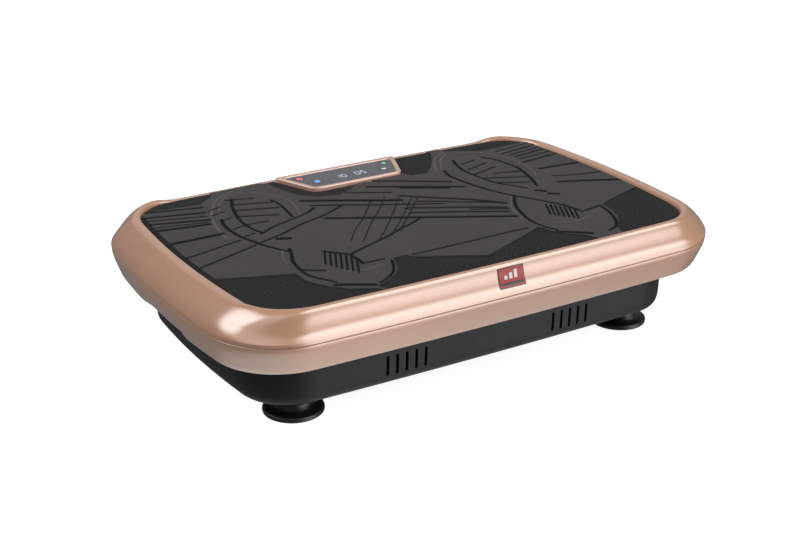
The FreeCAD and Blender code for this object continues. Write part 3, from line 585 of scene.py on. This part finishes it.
# The camera's lens, what it looks at, from which direction and how far away, in metres.
LENS = 64.7
CAMERA_AIM = (0.00224, 0.03, 0.0649)
CAMERA_SIDE = (-0.48232, -0.78864, 0.38133)
CAMERA_AWAY = 1.7558


def make_camera():
    data = bpy.data.cameras.new("camera")
    data.lens = LENS
    data.sensor_width = 36
    camera = bpy.data.objects.new("camera", data)
    bpy.context.scene.collection.objects.link(camera)
    back = Vector(CAMERA_SIDE)
    camera.location = Vector(CAMERA_AIM) + back * CAMERA_AWAY
    camera.rotation_euler = (-back).to_track_quat("-Z", "Y").to_euler()
    bpy.context.scene.camera = camera


def lobe(tree, light, direction, outer, inner, strength):
    """Adds a soft patch of brightness round a direction, its radii in degrees."""
    place = add_node(tree, "ShaderNodeTexCoord").outputs["Generated"]
    inputs = {0: place, 1: Vector(direction).normalized()}
    aim = add_node(tree, "ShaderNodeVectorMath", inputs, operation="DOT_PRODUCT")
    inputs = {"Value": aim.outputs["Value"], "To Min": 0, "To Max": strength}
    inputs["From Min"] = math.cos(math.radians(outer))
    inputs["From Max"] = math.cos(math.radians(inner))
    edge = add_node(tree, "ShaderNodeMapRange", inputs, interpolation_type="SMOOTHSTEP")
    return add_node(tree, "ShaderNodeMath", {0: light, 1: edge.outputs["Result"]}).outputs["Value"]


def make_lights():
    """The room lights the object, and is plain white to the camera."""
    world = bpy.data.worlds.new("studio")
    world.use_nodes = True
    tree = world.node_tree
    light = add_node(tree, "ShaderNodeValue").outputs["Value"]
    light.default_value = ROOM_LEVEL
    for patch in ROOM_LIGHT:
        light = lobe(tree, light, *patch)
    seen = add_node(tree, "ShaderNodeLightPath").outputs["Is Camera Ray"]
    strength = add_node(tree, "ShaderNodeMix", {"Factor": seen, "A": light, "B": 1}).outputs["Result"]
    background = tree.nodes["Background"]
    background.inputs["Color"].default_value = (1, 1, 1, 1)
    tree.links.new(strength, background.inputs["Strength"])
    bpy.context.scene.world = world
    bpy.context.scene.view_settings.view_transform = "Standard"


def make_floor():
    """A pale floor for the camera only, so that it doesn't light the object from below."""
    corners = [(sx * FLOOR_HALF, sy * FLOOR_HALF) for sx, sy in SQUARE]
    floor = add_piece("floor", prism(corners, -20, 0), "floor")
    floor.visible_diffuse = False
    floor.visible_glossy = False


# Housing ----


def smooth_step(value, start, end):
    share = min(max((value - start) / (end - start), 0), 1)
    return share * share * (3 - 2 * share)


def shell_ring(half_x, half_y, corner, side_z, end_z):
    """One outline of the shell: its ends lie lower between the raised corners, and its back too."""
    ring = outline(half_x, half_y, corner, side_z)
    for point in ring:
        x, y = abs(point.x), abs(point.y)
        point.z += (end_z - side_z) * (1 - smooth_step(y, *END_SLOPE))
        edge = PAD_INNER[1] + (PAD_OUTER[1] - PAD_INNER[1]) * smooth_step(x, PAD_INNER[0], PAD_OUTER[0])
        low = LEDGE_SHARE * (1 - smooth_step(y, edge - PAD_BLEND, edge + PAD_BLEND))
        back = smooth_step(point.y, *BACK_START) * (1 - smooth_step(x, *BACK_END))
        point.z -= max(point.z - LEDGE_LOW, 0) * low + max(point.z - BACK_CREST, 0) * back
    return ring


def make_top_shell():
    sections = SHELL_INSIDE + rounded(SHELL_OUTSIDE) + [POCKET_FLOOR]
    rings = [shell_ring(*section) for section in sections]
    stand_for(add_piece("top_shell_skin", skin(rings), "rose_gold"), "top_shell")


def gripped(ring):
    """Takes the lower part of each short end inward, for fingers."""
    for point in ring:
        share = 1 - smooth_step(abs(point.y), GRIP_HALF - GRIP_BLEND, GRIP_HALF + GRIP_BLEND)
        share *= 1 - smooth_step(point.z, GRIP_TOP - GRIP_FADE, GRIP_TOP)
        point.x -= math.copysign(GRIP_DEPTH * share, point.x)
    return ring


def make_lower_rim():
    sections = rounded(RIM_OUTSIDE) + RIM_INSIDE
    rings = [gripped(outline(*section)) for section in sections]
    stand_for(add_piece("lower_rim_skin", skin(rings, True), "rose_gold"), "lower_rim")


def slot_through(wall, x, z, half_x, half_z, turn):
    """A closed cutter with rounded corners that passes through a wall along Y."""
    corners = [(x + sx * half_x, z + sz * half_z, turn) for sx, sz in SQUARE]
    plan = rounded_polygon(corners, 6)
    return skin([[Vector((px, y, pz)) for px, pz in plan] for y in wall])


def tray_cuts():
    """Vents in the front wall, panel openings in the rear wall and holes for the feet's bolts."""
    half = VENT_WIDTH / 2
    tall = (VENT_HIGH - VENT_LOW) / 2
    cuts = [slot_through(FRONT_WALL, side * VENT_X + (index - VENT_COUNT // 2) * VENT_PITCH,
                         VENT_LOW + tall, half, tall, half - 0.05)
            for side in (-1, 1) for index in range(VENT_COUNT)]
    cuts += [slot_through(REAR_WALL, x, PANEL_Z, *size) for x, *size in PANEL_CUTS]
    cuts += [skin([circle(FOOT_BORE, centre, z, 32) for z in (18, 40)]) for centre in FEET.values()]
    return joined(*cuts)


def make_tray():
    inner = [outline(*section) for section in TRAY_INSIDE]
    outer = [outline(*section) for section in rounded(TRAY_OUTSIDE)]
    piece = add_piece("base_tray_skin", skin(inner + outer), "tray_plastic")
    cut_from(piece, tray_cuts(), "tray_plastic")
    stand_for(piece, "base_tray")


def lathe(profile, centre, count=96, hollow=False):
    """A closed mesh turned round a vertical axis through (radius, height) points."""
    rings = [circle(radius, centre, z, count) for radius, z in profile]
    return skin(rings, hollow)


def make_feet():
    """Cup feet: a wide soft pad, a flared skirt and a beaded neck, bored for their bolt."""
    outside = [
        (8.5, 1.2), (23.2, 1.2), (24.8, 0.6), (26, 0), (31.8, 0), (33.4, 0.5), (34, 1.9), (34, 4),
        (33.3, 5.6), (31.2, 6.5), (28, 7), (25.4, 8), (23.2, 9.8), (21.9, 12.2), (21.3, 14.6), (21.3, 15.6),
        (22, 16.4), (22, 18.2), (21.3, 19), (21.2, 24),
    ]
    bore = [(FOOT_BORE, 24), (FOOT_BORE, 12), (8.5, 12)]
    for node, centre in FEET.items():
        turned = lathe(rounded(outside, 1) + bore, centre, hollow=True)
        stand_for(add_piece(node + "_pad", turned, "foot_rubber"), node)


# Display ----


def make_display_frame():
    """The trim round the display: (inset, how far its back stands in, height) round a loop."""
    sections = [
        (0.6, 0, 141), (0.6, 0, 148.6), (0.8, 0.2, 149.4), (1.6, 1, 150.2), (2.6, 2, 150.45),
        (5, 5, 150.3), (6.4, 6.4, 149.8), (7, 7, 148.9), (7, 7, 147), (9, 9, 147), (9, 9, 141),
    ]
    back = MAT[1] - 0.2
    rings = [notch(inset, back - drawn, z) for inset, drawn, z in sections]
    stand_for(add_piece("display_frame", skin(rings, True), "rose_gold_trim"), "display_bezel")


def band(centre, radius, width, start, end, z0, z1, spans=20):
    """A flat arc of one width, with its angles in degrees, as a closed mesh."""
    angles = [math.radians(start + (end - start) * step / spans) for step in range(spans + 1)]
    x, y = centre
    outer, inner = ([(x + reach * math.cos(a), y + reach * math.sin(a)) for a in angles]
                    for reach in (radius + width / 2, radius - width / 2))
    return prism(outer + inner[::-1], z0, z1)


def stroke(first, last, width, z0, z1):
    """A straight bar between two points, as a closed mesh."""
    start, end = Vector(first), Vector(last)
    across = (end - start).orthogonal().normalized() * width / 2
    points = [start - across, end - across, end + across, start + across]
    return prism(points, z0, z1)


def key_symbol(node, x, y):
    """What a key shows when lit: a power mark, a clock, a plus or a minus."""
    heights = (KEY_TOP - 0.35, KEY_TOP - 0.02)

    def bar(x0, y0, x1, y1, width):
        return stroke((x + x0, y + y0), (x + x1, y + y1), width, *heights)

    if node == "power_key":
        return joined(band((x, y), 2.9, 0.8, 120, 420, *heights), bar(0, 0.8, 0, 3.8, 0.8))
    if node == "mode_key":
        hands = (bar(0, -0.3, 0, 2.1, 0.7), bar(-0.3, 0, 1.9, 0, 0.7))
        return joined(band((x, y), 3, 0.8, 0, 359, *heights), *hands)
    across = bar(-2.8, 0, 2.8, 0, 1)
    if node == "slower_key":
        return across
    return joined(across, bar(0, 0.6, 0, 2.8, 1), bar(0, -2.8, 0, -0.6, 1))


def make_keys():
    """Round caps with a dished top, each with its lit symbol."""
    profile = [(7.5, 144.9), (7.5, 146.1), (6, 146.1), (6, 148.9), (5.8, 149.35), (5.3, KEY_TOP),
               (4.7, 149.5), (3.6, 149.32), (1.5, 149.28)]
    for node, (x, y, glow) in KEYS.items():
        cap = add_piece(node + "_cap", lathe(profile, (x, y), 48), "key_caps")
        stand_for(cap, node)
        go_with(add_piece(node + "_symbol", key_symbol(node, x, y), glow), node)


# Which segments each digit lights, and each segment's ends in widths and half heights of a digit.
LIT = {"0": "abcdef", "1": "bc", "5": "acdfg"}
SEGMENTS = {
    "a": ((0, 2), (1, 2)), "b": ((1, 2), (1, 1)), "c": ((1, 1), (1, 0)), "d": ((0, 0), (1, 0)),
    "e": ((0, 1), (0, 0)), "f": ((0, 2), (0, 1)), "g": ((0, 1), (1, 1)),
}
DIGIT_WIDE = 5.2
DIGIT_TALL = 9.6
STROKE_WIDTH = 1.05
STROKE_TRIM = 0.75


def digit(x, y, shown):
    """One seven-segment digit with its lower left corner at a point."""
    made = []
    for name in LIT[shown]:
        first, last = (Vector((x + across * DIGIT_WIDE, y + up * DIGIT_TALL / 2))
                       for across, up in SEGMENTS[name])
        trim = (last - first).normalized() * STROKE_TRIM
        made.append(stroke(first + trim, last - trim, STROKE_WIDTH, PANE_TOP - 0.05, PANE_TOP + 0.08))
    return made


def make_digits():
    x, y = DIGITS_AT
    strokes = []
    for offset, shown in ((-22, "1"), (-13.5, "0"), (6, "0"), (14.5, "5")):
        strokes += digit(x + offset, y - DIGIT_TALL / 2, shown)
    go_with(add_piece("lit_digits", joined(*strokes), "glow_digits"), "display_digits")


def front_curve():
    """The front of the shell from its flare to its crest, as (y, z) points."""
    keys = [(-half_y, side_z) for _, half_y, _, side_z, _ in SHELL_OUTSIDE[3:14]]
    return [Vector(key) for key in rounded(keys)]


def on_front(curve, x, reach, lift):
    """A point on the front of the shell, some way up it from the badge's middle, lifted off it."""
    lengths = [0]
    for first, last in zip(curve, curve[1:]):
        lengths.append(lengths[-1] + (last - first).length)
    nearest = min(range(len(curve)), key=lambda index: abs(curve[index].y - BADGE_Z))
    target = lengths[nearest] + reach
    index = max(i for i in range(len(curve) - 1) if lengths[i] <= target)
    along = (curve[index + 1] - curve[index]).normalized()
    place = curve[index] + along * (target - lengths[index])
    outward = Vector((-along.y, along.x))
    if outward.x > 0:
        outward.negate()
    place += outward * lift
    return Vector((BADGE_X + x, place.x, place.y))


def badge_plate(half_x, half_s, low, high, centre=(0, 0), turn=1.2):
    """A thin plate with rounded corners that follows the front of the shell."""
    curve = front_curve()
    rows = 14
    x0, s0 = centre
    rings = []
    columns = [-half_x + turn * (1 - math.cos(step * math.pi / 8)) for step in range(5)]
    columns += [-value for value in reversed(columns)]
    for x in columns:
        short = max(turn - (half_x - abs(x)), 0)
        reach = half_s - turn + math.sqrt(max(turn**2 - short**2, 0.0001))
        steps = [reach * (2 * row / rows - 1) for row in range(rows + 1)]
        top = [on_front(curve, x0 + x, s0 + s, high) for s in steps]
        bottom = [on_front(curve, x0 + x, s0 + s, low) for s in steps]
        rings.append(top + bottom[::-1])
    return skin(rings)


def make_badge():
    """A plain badge: a dark plate, a red face and three rising pale bars over a dark strip."""
    stand_for(add_piece("badge_plate", badge_plate(17, 11.5, -0.4, 0.5), "badge_dark"), "badge")
    rising = ((-7.5, 2), (-1, 3.3), (5.5, 4.6))
    layers = {
        "badge_face": ("badge_red", badge_plate(15.9, 10.4, 0.4, 0.75, turn=0.6)),
        "badge_marks": ("badge_pale", joined(*(badge_plate(2, half, 0.7, 0.95, (x, half - 1.6), 0.6)
                                               for x, half in rising))),
        "badge_strip": ("badge_dark", badge_plate(14.4, 1.7, 0.7, 0.9, (0, -7), 0.5)),
    }
    for name, (finish, layer) in layers.items():
        go_with(add_piece(name, layer, finish), "badge")


# Mat ----


def through(points, spans=5):
    """Points along a smooth curve through the given ones."""
    given = [Vector(point) for point in points]
    given = [given[0] * 2 - given[1]] + given + [given[-1] * 2 - given[-2]]
    curve = [given[1]]
    for a, b, c, d in zip(given, given[1:], given[2:], given[3:]):
        for step in range(1, spans + 1):
            t = step / spans
            sway = (2 * a - 5 * b + 4 * c - d) * t + (3 * b - a - 3 * c + d) * t * t
            curve.append(b + ((c - a) + sway) * t * 0.5)
    return [tuple(point) for point in curve]


def shifted(corner, before, after, distance, least):
    """A corner whose two edges both move to the left, no further than a least share allows."""
    along = (before + after).normalized()
    across = Vector((-along.y, along.x))
    return across * (distance / max(across.dot(Vector((-after.y, after.x))), least)) + corner


class Groove:
    """A channel or raised line of one width, with round ends."""

    def __init__(self, width, *points, depth=GROOVE_DEPTH):
        self.half = width / 2
        self.depth = depth
        self.line = [Vector(point) for point in points]

    def loop(self, half):
        """The outline of the channel at a given half width."""
        line = self.line
        along = [(last - first).normalized() for first, last in zip(line, line[1:])]
        spans = list(zip(line, along[:1] + along, along + along[-1:]))
        left, right = ([shifted(*span, reach, 0.5) for span in spans] for reach in (half, -half))
        points = left + self.cap(line[-1], line[-1] - line[-2], half)
        return points + right[::-1] + self.cap(line[0], line[0] - line[1], half)

    @staticmethod
    def cap(centre, along, half):
        start = math.atan2(along.y, along.x) + math.pi / 2
        turns = [start - math.pi * step / 5 for step in range(1, 5)]
        return [centre + Vector((math.cos(turn), math.sin(turn))) * half for turn in turns]

    def loops(self):
        return [self.loop(self.half), self.loop(self.half - BEVEL)]

    def relief(self, places):
        """How far each place lies off the mat's face because of this line."""
        inside = self.half - line_distance(places, self.line)
        return self.depth * np.clip(inside / BEVEL, 0, 1)


class Studs:
    """Small raised diamonds round given centres."""

    def __init__(self, centres):
        self.centres = np.array(centres)

    def loops(self):
        corners = ((-1, 0), (0, -1), (1, 0), (0, 1))
        return [[Vector((x + dx * half, y + dy * half)) for dx, dy in corners]
                for x, y in self.centres for half in (STUD_HALF, STUD_HALF - BEVEL)]

    def relief(self, places):
        best = np.zeros(len(places))
        for centre in self.centres:
            reach = STUD_HALF - np.abs(places - centre).sum(axis=1)
            best = np.maximum(best, STUD_RISE * np.clip(reach / BEVEL, 0, 1))
        return best


class Zone:
    """A lowered area inside a polygon."""

    def __init__(self, points):
        area = sum(a[0] * b[1] - b[0] * a[1] for a, b in zip(points, points[1:] + points[:1]))
        self.points = [Vector(point) for point in (points if area > 0 else points[::-1])]

    def loops(self):
        points = self.points
        along = [(last - first).normalized() for first, last in zip(points, points[1:] + points[:1])]
        spans = zip(points, along[-1:] + along, along)
        return [points, [shifted(*span, BEVEL, 0.35) for span in spans]]

    def relief(self, places):
        closed = self.points + self.points[:1]
        distance = line_distance(places, closed)
        distance[~inside_polygon(places, self.points)] = 0
        return ZONE_DEPTH * np.clip(distance / BEVEL, 0, 1)


def line_distance(places, line):
    """The distance from each place to a line of points."""
    best = np.full(len(places), 1e9)
    for first, last in zip(line, line[1:]):
        start = np.array(first)
        along = np.array(last) - start
        share = np.clip((places - start) @ along / max(along @ along, 1e-9), 0, 1)
        best = np.minimum(best, np.linalg.norm(places - start - share[:, None] * along, axis=1))
    return best


def inside_polygon(places, polygon):
    inside = np.zeros(len(places), bool)
    x, y = places[:, 0], places[:, 1]
    for index, (x1, y1) in enumerate(polygon):
        x0, y0 = polygon[index - 1]
        if y0 != y1:
            crosses = (y0 > y) != (y1 > y)
            inside ^= crosses & (x < (x1 - x0) * (y - y0) / (y1 - y0) + x0)
    return inside


def bars(first, last, shift, count, width=2.8):
    """Equal short grooves side by side."""
    steps = [Vector(shift) * index for index in range(count)]
    return [Groove(width, Vector(first) + step, Vector(last) + step, depth=BAR_DEPTH) for step in steps]


def bend(width, *points, depth=GROOVE_DEPTH):
    """A groove along a smooth curve through the points."""
    return Groove(width, *through(points), depth=depth)


# The outline of the left shoe print and what lies in it.
LEFT_PRINT = [
    bend(5, (-203, 92), (-208, 78), (-210, 60), (-209, 35), (-203, 12), (-197, -8), (-183, -36)),
    bend(4.5, (-163, 150), (-172, 130), (-178, 112), (-184, 90), (-187, 68), (-186, 45), (-181, 28)),
    bend(4, (-124, 123), (-122, 108), (-123, 92), (-126, 72), (-128, 58)),
    bend(4.5, (-184, 27), (-162, 40), (-138, 49), (-107, 61), (-92, 72)),
    bend(4.5, (-196, 3), (-165, 14), (-133, 30), (-95, 43), (-72, 55), (-60, 62)),
    Groove(5, (-178, 112), (-129, 95)),
    Groove(5, (-182, 91), (-140, 73)),
    Groove(4.5, (-172, 131), (-127, 116)),
    Groove(4.5, (-186, 62), (-160, 60)),
    Groove(4.5, (-172, 150), (-140, 140)),
    Groove(8, (-175, 3), (-164, -2)),
    bend(4.5, (-178, -30), (-184, -47), (-192, -66), (-196, -90), (-195, -112), (-180, -140)),
    Groove(7, (-184, -146), (-165, -157), (-149, -167)),
    Groove(5, (-194, -93), (-175, -106)),
    bend(3.6, (-141, -165), (-126, -157), (-113, -145), (-104, -130), (-99, -118)),
    Groove(5, (-150, -57), (-140, -68), (-130, -80), (-129, -95), (-130, -110), (-104, -110)),
    bend(4.5, (-128, -80), (-100, -68), (-70, -56), (-40, -41), (-20, -33), (0, -22)),
]
LEFT_PRINT += [Groove(4, (-205, y - 2), (-190, y + 3)) for y in (128, 112, 90, 58, 30)]
LEFT_PRINT += bars((-166, -92), (-148, -56), (3.3, -6.2), 7)

# The same for the right one.
RIGHT_PRINT = [
    bend(5, (115, 106), (110, 85), (112, 62), (118, 32), (127, 2), (141, -26), (157, -55), (168, -76)),
    Groove(5, (168, -76), (173, -105), (203, -99)),
    bend(4.5, (148, 135), (140, 112), (137, 88), (140, 56), (145, 32), (155, 16), (166, -3)),
    bend(5, (188, 127), (197, 110), (201, 88), (203, 70), (199, 48), (192, 24), (183, 0)),
    Groove(7, (171, -16), (178, -24)),
    Groove(7, (178, -33), (186, -40)),
    Groove(5, (142, 55), (194, 31)),
    Groove(5, (146, 33), (180, 15)),
    Groove(5, (164, 65), (199, 54)),
    Groove(4, (145, 95), (180, 105)),
    Groove(4, (150, 117), (172, 123)),
    Groove(4, (140, 74), (180, 86)),
    bend(4.5, (135, -20), (120, -42), (109, -68), (102, -98), (104, -122), (110, -138)),
    Groove(7, (108, -143), (121, -153), (137, -167)),
    bend(4.5, (160, -170), (176, -163), (188, -147), (198, -125), (203, -101)),
]
RIGHT_PRINT += bars((134, -94), (151, -62), (3.4, -4.6), 7)

# The band of lines that crosses the middle of the mat, and the fine ones across it.
MIDDLE_LINES = [
    (7, (-98, 33), (96, -77)),
    (8, (-94, 101), (-48, 75), (-12, 53), (10, 41)),
    (5, (-92, 80), (-58, 62), (-28, 44), (20, 18), (46, 4)),
    (5, (-34, 98), (-8, 84), (14, 71)),
    (6, (18, 54), (52, 24), (84, -2), (112, -34)),
    (5, (24, 27), (52, 9), (70, -3)),
    (5, (56, 6), (92, -18), (110, -30)),
    (5.5, (0, 14), (36, -6), (62, -20), (104, -46)),
    (5, (-4, -2), (30, -20), (58, -36), (98, -60)),
    (4.5, (64, -30), (84, -41), (103, -52)),
    (6.5, (0, 104), (30, 86), (60, 68), (102, 42)),
    (5.5, (9, 124), (44, 103), (72, 84), (98, 66)),
    (4.5, (34, 78), (62, 60), (84, 47)),
]
FINE_LINES = [
    ((-108, -45), (-85, -15), (-60, 10), (-20, 60)),
    ((-98, -55), (-60, -8), (-30, 25), (0, 62)),
    ((-82, -62), (-48, -25), (-16, 14), (12, 50)),
    ((-62, -55), (-30, -22), (2, 14), (24, 40)),
    ((-46, -48), (-14, -14), (16, 20), (36, 42)),
]

# The line along the front, then the rays that run from each shoe print to the mat's ends.
OUTER_LINES = [
    (4.5, (-70, -116), (84, -115)),
    (4.5, (-294, 0), (-250, 12), (-214, 21)),
    (4.5, (-294, -34), (-250, -18), (-205, -1)),
    (8, (-294, 50), (-222, 50)),
    (7, (-294, 98), (-222, 86)),
    (6, (-294, 124), (-216, 99)),
    (6, (-294, 147), (-211, 124)),
    (5, (-286, 163), (-206, 142)),
    (4, (-294, 135), (-214, 112)),
    (4, (-294, 110), (-219, 92)),
    (7, (214, -4), (240, -15), (294, -41)),
    (5, (222, 18), (250, 6), (294, -2)),
    (7, (225, 50), (294, 44)),
    (5, (222, 82), (294, 92)),
    (5, (229, 107), (294, 117)),
    (5, (220, 126), (294, 138)),
    (4, (224, 116), (294, 127)),
    (4, (226, 95), (294, 105)),
    (4, (218, 138), (286, 148)),
]

# The lowered areas, which run past the mat's edge where they reach it.
ZONES = [
    [(-300, -60), (-205, -97), (-205, -118), (-200, -131), (-190, -147), (-176, -162), (-150, -176),
     (-140, -200), (-300, -200)],
    [(-140, -200), (-148, -171), (-130, -163), (-115, -153), (-105, -140), (-98, -125), (-93, -112),
     (-78, -112), (-72, -121), (0, -160), (0, -200)],
    [(0, -200), (0, -160), (78, -127), (98, -118), (103, -136), (112, -152), (128, -165), (140, -200)],
    [(300, -62), (250, -80), (222, -90), (208, -98), (206, -118), (200, -135), (189, -152), (174, -169),
     (165, -200), (300, -200)],
    [(-300, 168), (-262, 160), (-205, 152), (-180, 172), (-170, 200), (-300, 200)],
    [(300, 152), (262, 152), (205, 150), (160, 172), (150, 200), (300, 200)],
    [(-120, 200), (-100, 176), (-96, 150), (-88, 122), (-70, 104), (-44, 96), (-20, 108), (2, 124),
     (30, 200)],
    [(40, 200), (70, 112), (92, 110), (112, 132), (126, 152), (138, 174), (140, 200)],
]


def low_zones():
    """The lowered areas, after a strip along each end of the mat."""
    strips = []
    for side in (-1, 1):
        inner = [(side * (MAT[0] - END_STRIP - y * y / (2 * END_BOW)), y) for y in range(-140, 141, 20)]
        strips.append([(side * PAST_END, -150)] + inner + [(side * PAST_END, 150)])
    return [Zone(points) for points in strips + ZONES]


def mat_border():
    """The mat's own outline at its top face: the rounded rectangle with the notch cut in."""
    half_x, half_y, corner = (size - EDGE_ROUND for size in MAT)
    ring = [(p.x, p.y) for p in outline(half_x, half_y, corner, 0)]
    back_y = half_y - NOTCH_BACK**2 / (2 * SIDE_BOW)
    front, (back, *_) = notch_corners(-EDGE_ROUND, back_y)
    far = back_y + 60
    corners = mirrored([(far, far, 1), (back, back_y, 1.5), front])
    # Nine points turn each corner, and only the two corners in front are needed.
    cut = rounded_polygon(corners, 8)[18:36]
    start = next(i for i, (x, y) in enumerate(ring) if y > 0 and x < back)
    end = next(i for i, (x, y) in enumerate(ring) if y > 0 and x < -back)
    return ring[:start] + [(back, back_y)] + cut + [(-back, back_y)] + ring[end:]


def triangulated(loops, border):
    """Triangles inside the border that keep every loop's edges."""
    points, edges = [], []
    for loop in [border] + loops:
        start = len(points)
        points += [Vector(point[:2]) for point in loop]
        edges += [(start + i, start + (i + 1) % len(loop)) for i in range(len(loop))]
    vertices, _, faces, *_ = delaunay_2d_cdt(points, edges, [], 0, 1e-4)
    places = np.array([tuple(vertex) for vertex in vertices])
    centres = np.array([places[list(face)].mean(axis=0) for face in faces])
    keep = inside_polygon(centres, border)
    return places, [face for face, kept in zip(faces, keep) if kept]


def stud_field(corners, pitch):
    """Centres of staggered studs inside a polygon."""
    low = np.min(corners, axis=0)
    high = np.max(corners, axis=0)
    places = []
    for row in range(int((high[1] - low[1]) / pitch * 2)):
        for column in range(int((high[0] - low[0]) / pitch) + 1):
            places.append((low[0] + (column + row % 2 / 2) * pitch, low[1] + row * pitch / 2))
    places = np.array(places)
    return list(places[inside_polygon(places, corners)])


def mat_studs():
    """The studs in the lowered areas along the front of the mat."""
    fields = [
        [(196, -132), (238, -128), (246, -150), (236, -172), (184, -176)],
        [(-92, -168), (-60, -160), (-30, -164), (0, -168), (0, -178), (-96, -179)],
        [(6, -172), (20, -160), (62, -148), (84, -152), (96, -166), (90, -178), (6, -179)],
        [(252, 166), (262, 172), (222, 178), (176, 178), (200, 160)],
    ]
    rows = (((-212, -112), (-276, -134)), ((-214, -118), (-274, -139)))
    centres = [centre for first, last in rows for centre in np.linspace(first, last, 11)]
    for corners in fields:
        centres += stud_field(corners, STUD_PITCH)
    return Studs(centres)


# Raised lines beside the shoe prints, curved and straight.
RIDGE_CURVES = [
    (4, (-150, 175), (-178, 159), (-198, 130), (-213, 96), (-221, 62), (-224, 34)),
    (3.2, (-141, 166), (-163, 162), (-186, 138), (-197, 108)),
    (3.2, (-133, 160), (-114, 138), (-107, 112), (-110, 84), (-118, 60)),
    (4, (156, 170), (134, 156), (118, 134), (104, 106)),
    (3.2, (152, 160), (134, 145), (122, 124), (113, 112)),
    (3.2, (170, 160), (192, 148), (206, 128), (213, 106), (216, 80), (212, 52), (205, 30)),
    (3, (-186, -30), (-196, -50), (-203, -72)),
    (3, (128, -22), (112, -46), (101, -70), (95, -92)),
]
RIDGE_LINES = [(3, (-160, -118), (-138, -128), (-116, -124)), (3, (122, -118), (146, -128), (170, -122))]


def mat_grooves():
    grooves = LEFT_PRINT + RIGHT_PRINT + [Groove(*row) for row in MIDDLE_LINES]
    grooves += [Groove(FINE_WIDTH, *row, depth=FINE_DEPTH) for row in FINE_LINES]
    return grooves + [Groove(*row) for row in OUTER_LINES]


def mat_ridges():
    curves = [bend(*row, depth=RIDGE) for row in RIDGE_CURVES]
    return curves + [Groove(*row, depth=RIDGE) for row in RIDGE_LINES]


def make_mat():
    grooves = mat_grooves()
    zones = low_zones()
    raised = mat_ridges() + [mat_studs()]
    loops = [loop for feature in grooves + zones + raised for loop in feature.loops()]
    places, faces = triangulated(loops, mat_border())
    cut, sunk, lift = (np.max([feature.relief(places) for feature in features], axis=0)
                       for features in (grooves, zones, raised))
    fall = np.where(cut > 0.01, np.maximum(cut, sunk), sunk - lift)
    work = bmesh.new()
    corners = [work.verts.new((x, y, MAT_TOP - down)) for (x, y), down in zip(places, fall)]
    for face in faces:
        work.faces.new([corners[index] for index in face])
    for corner in [v for v in work.verts if not v.link_faces]:
        work.verts.remove(corner)
    add_skirt(work)
    bmesh.ops.recalc_face_normals(work, faces=work.faces)
    bmesh.ops.scale(work, vec=(MM, MM, MM), verts=work.verts)
    mesh = bpy.data.meshes.new("mat_relief")
    work.to_mesh(mesh)
    work.free()
    stand_for(put("mat_relief", mesh, "mat_rubber", 25), "mat")


def add_skirt(work):
    """Rounds the mat's edge over and takes it down to its flat underside."""
    rim = [edge for edge in work.edges if len(edge.link_faces) == 1]
    outward = {}
    for edge in rim:
        a, b = edge.verts
        along = (b.co - a.co).normalized()
        across = Vector((along.y, -along.x, 0)).normalized()
        middle = (a.co + b.co) / 2
        if (edge.link_faces[0].calc_center_median() - middle).dot(across) > 0:
            across.negate()
        for corner in (a, b):
            outward[corner] = outward.get(corner, Vector((0, 0, 0))) + across
    before = {corner: corner for corner in outward}
    for share, drop in ((0.45, 0.12), (0.8, 0.45), (1, 1.3), (1, None)):
        row = {}
        for corner, across in outward.items():
            place = corner.co + across.normalized() * EDGE_ROUND * share
            place.z = MAT_BOTTOM if drop is None else place.z - drop
            row[corner] = work.verts.new(place)
        for edge in rim:
            a, b = edge.verts
            work.faces.new([before[a], before[b], row[b], row[a]])
        before = row
    bottom = [work.edges.get((before[a], before[b])) for a, b in (edge.verts for edge in rim)]
    bmesh.ops.triangle_fill(work, use_beauty=False, edges=bottom)


# Making ----


def main():
    make_camera()
    make_lights()
    make_floor()
    finish_frame_nodes()
    make_top_shell()
    make_lower_rim()
    make_tray()
    make_feet()
    make_display_frame()
    make_keys()
    make_digits()
    make_badge()
    make_mat()


main()
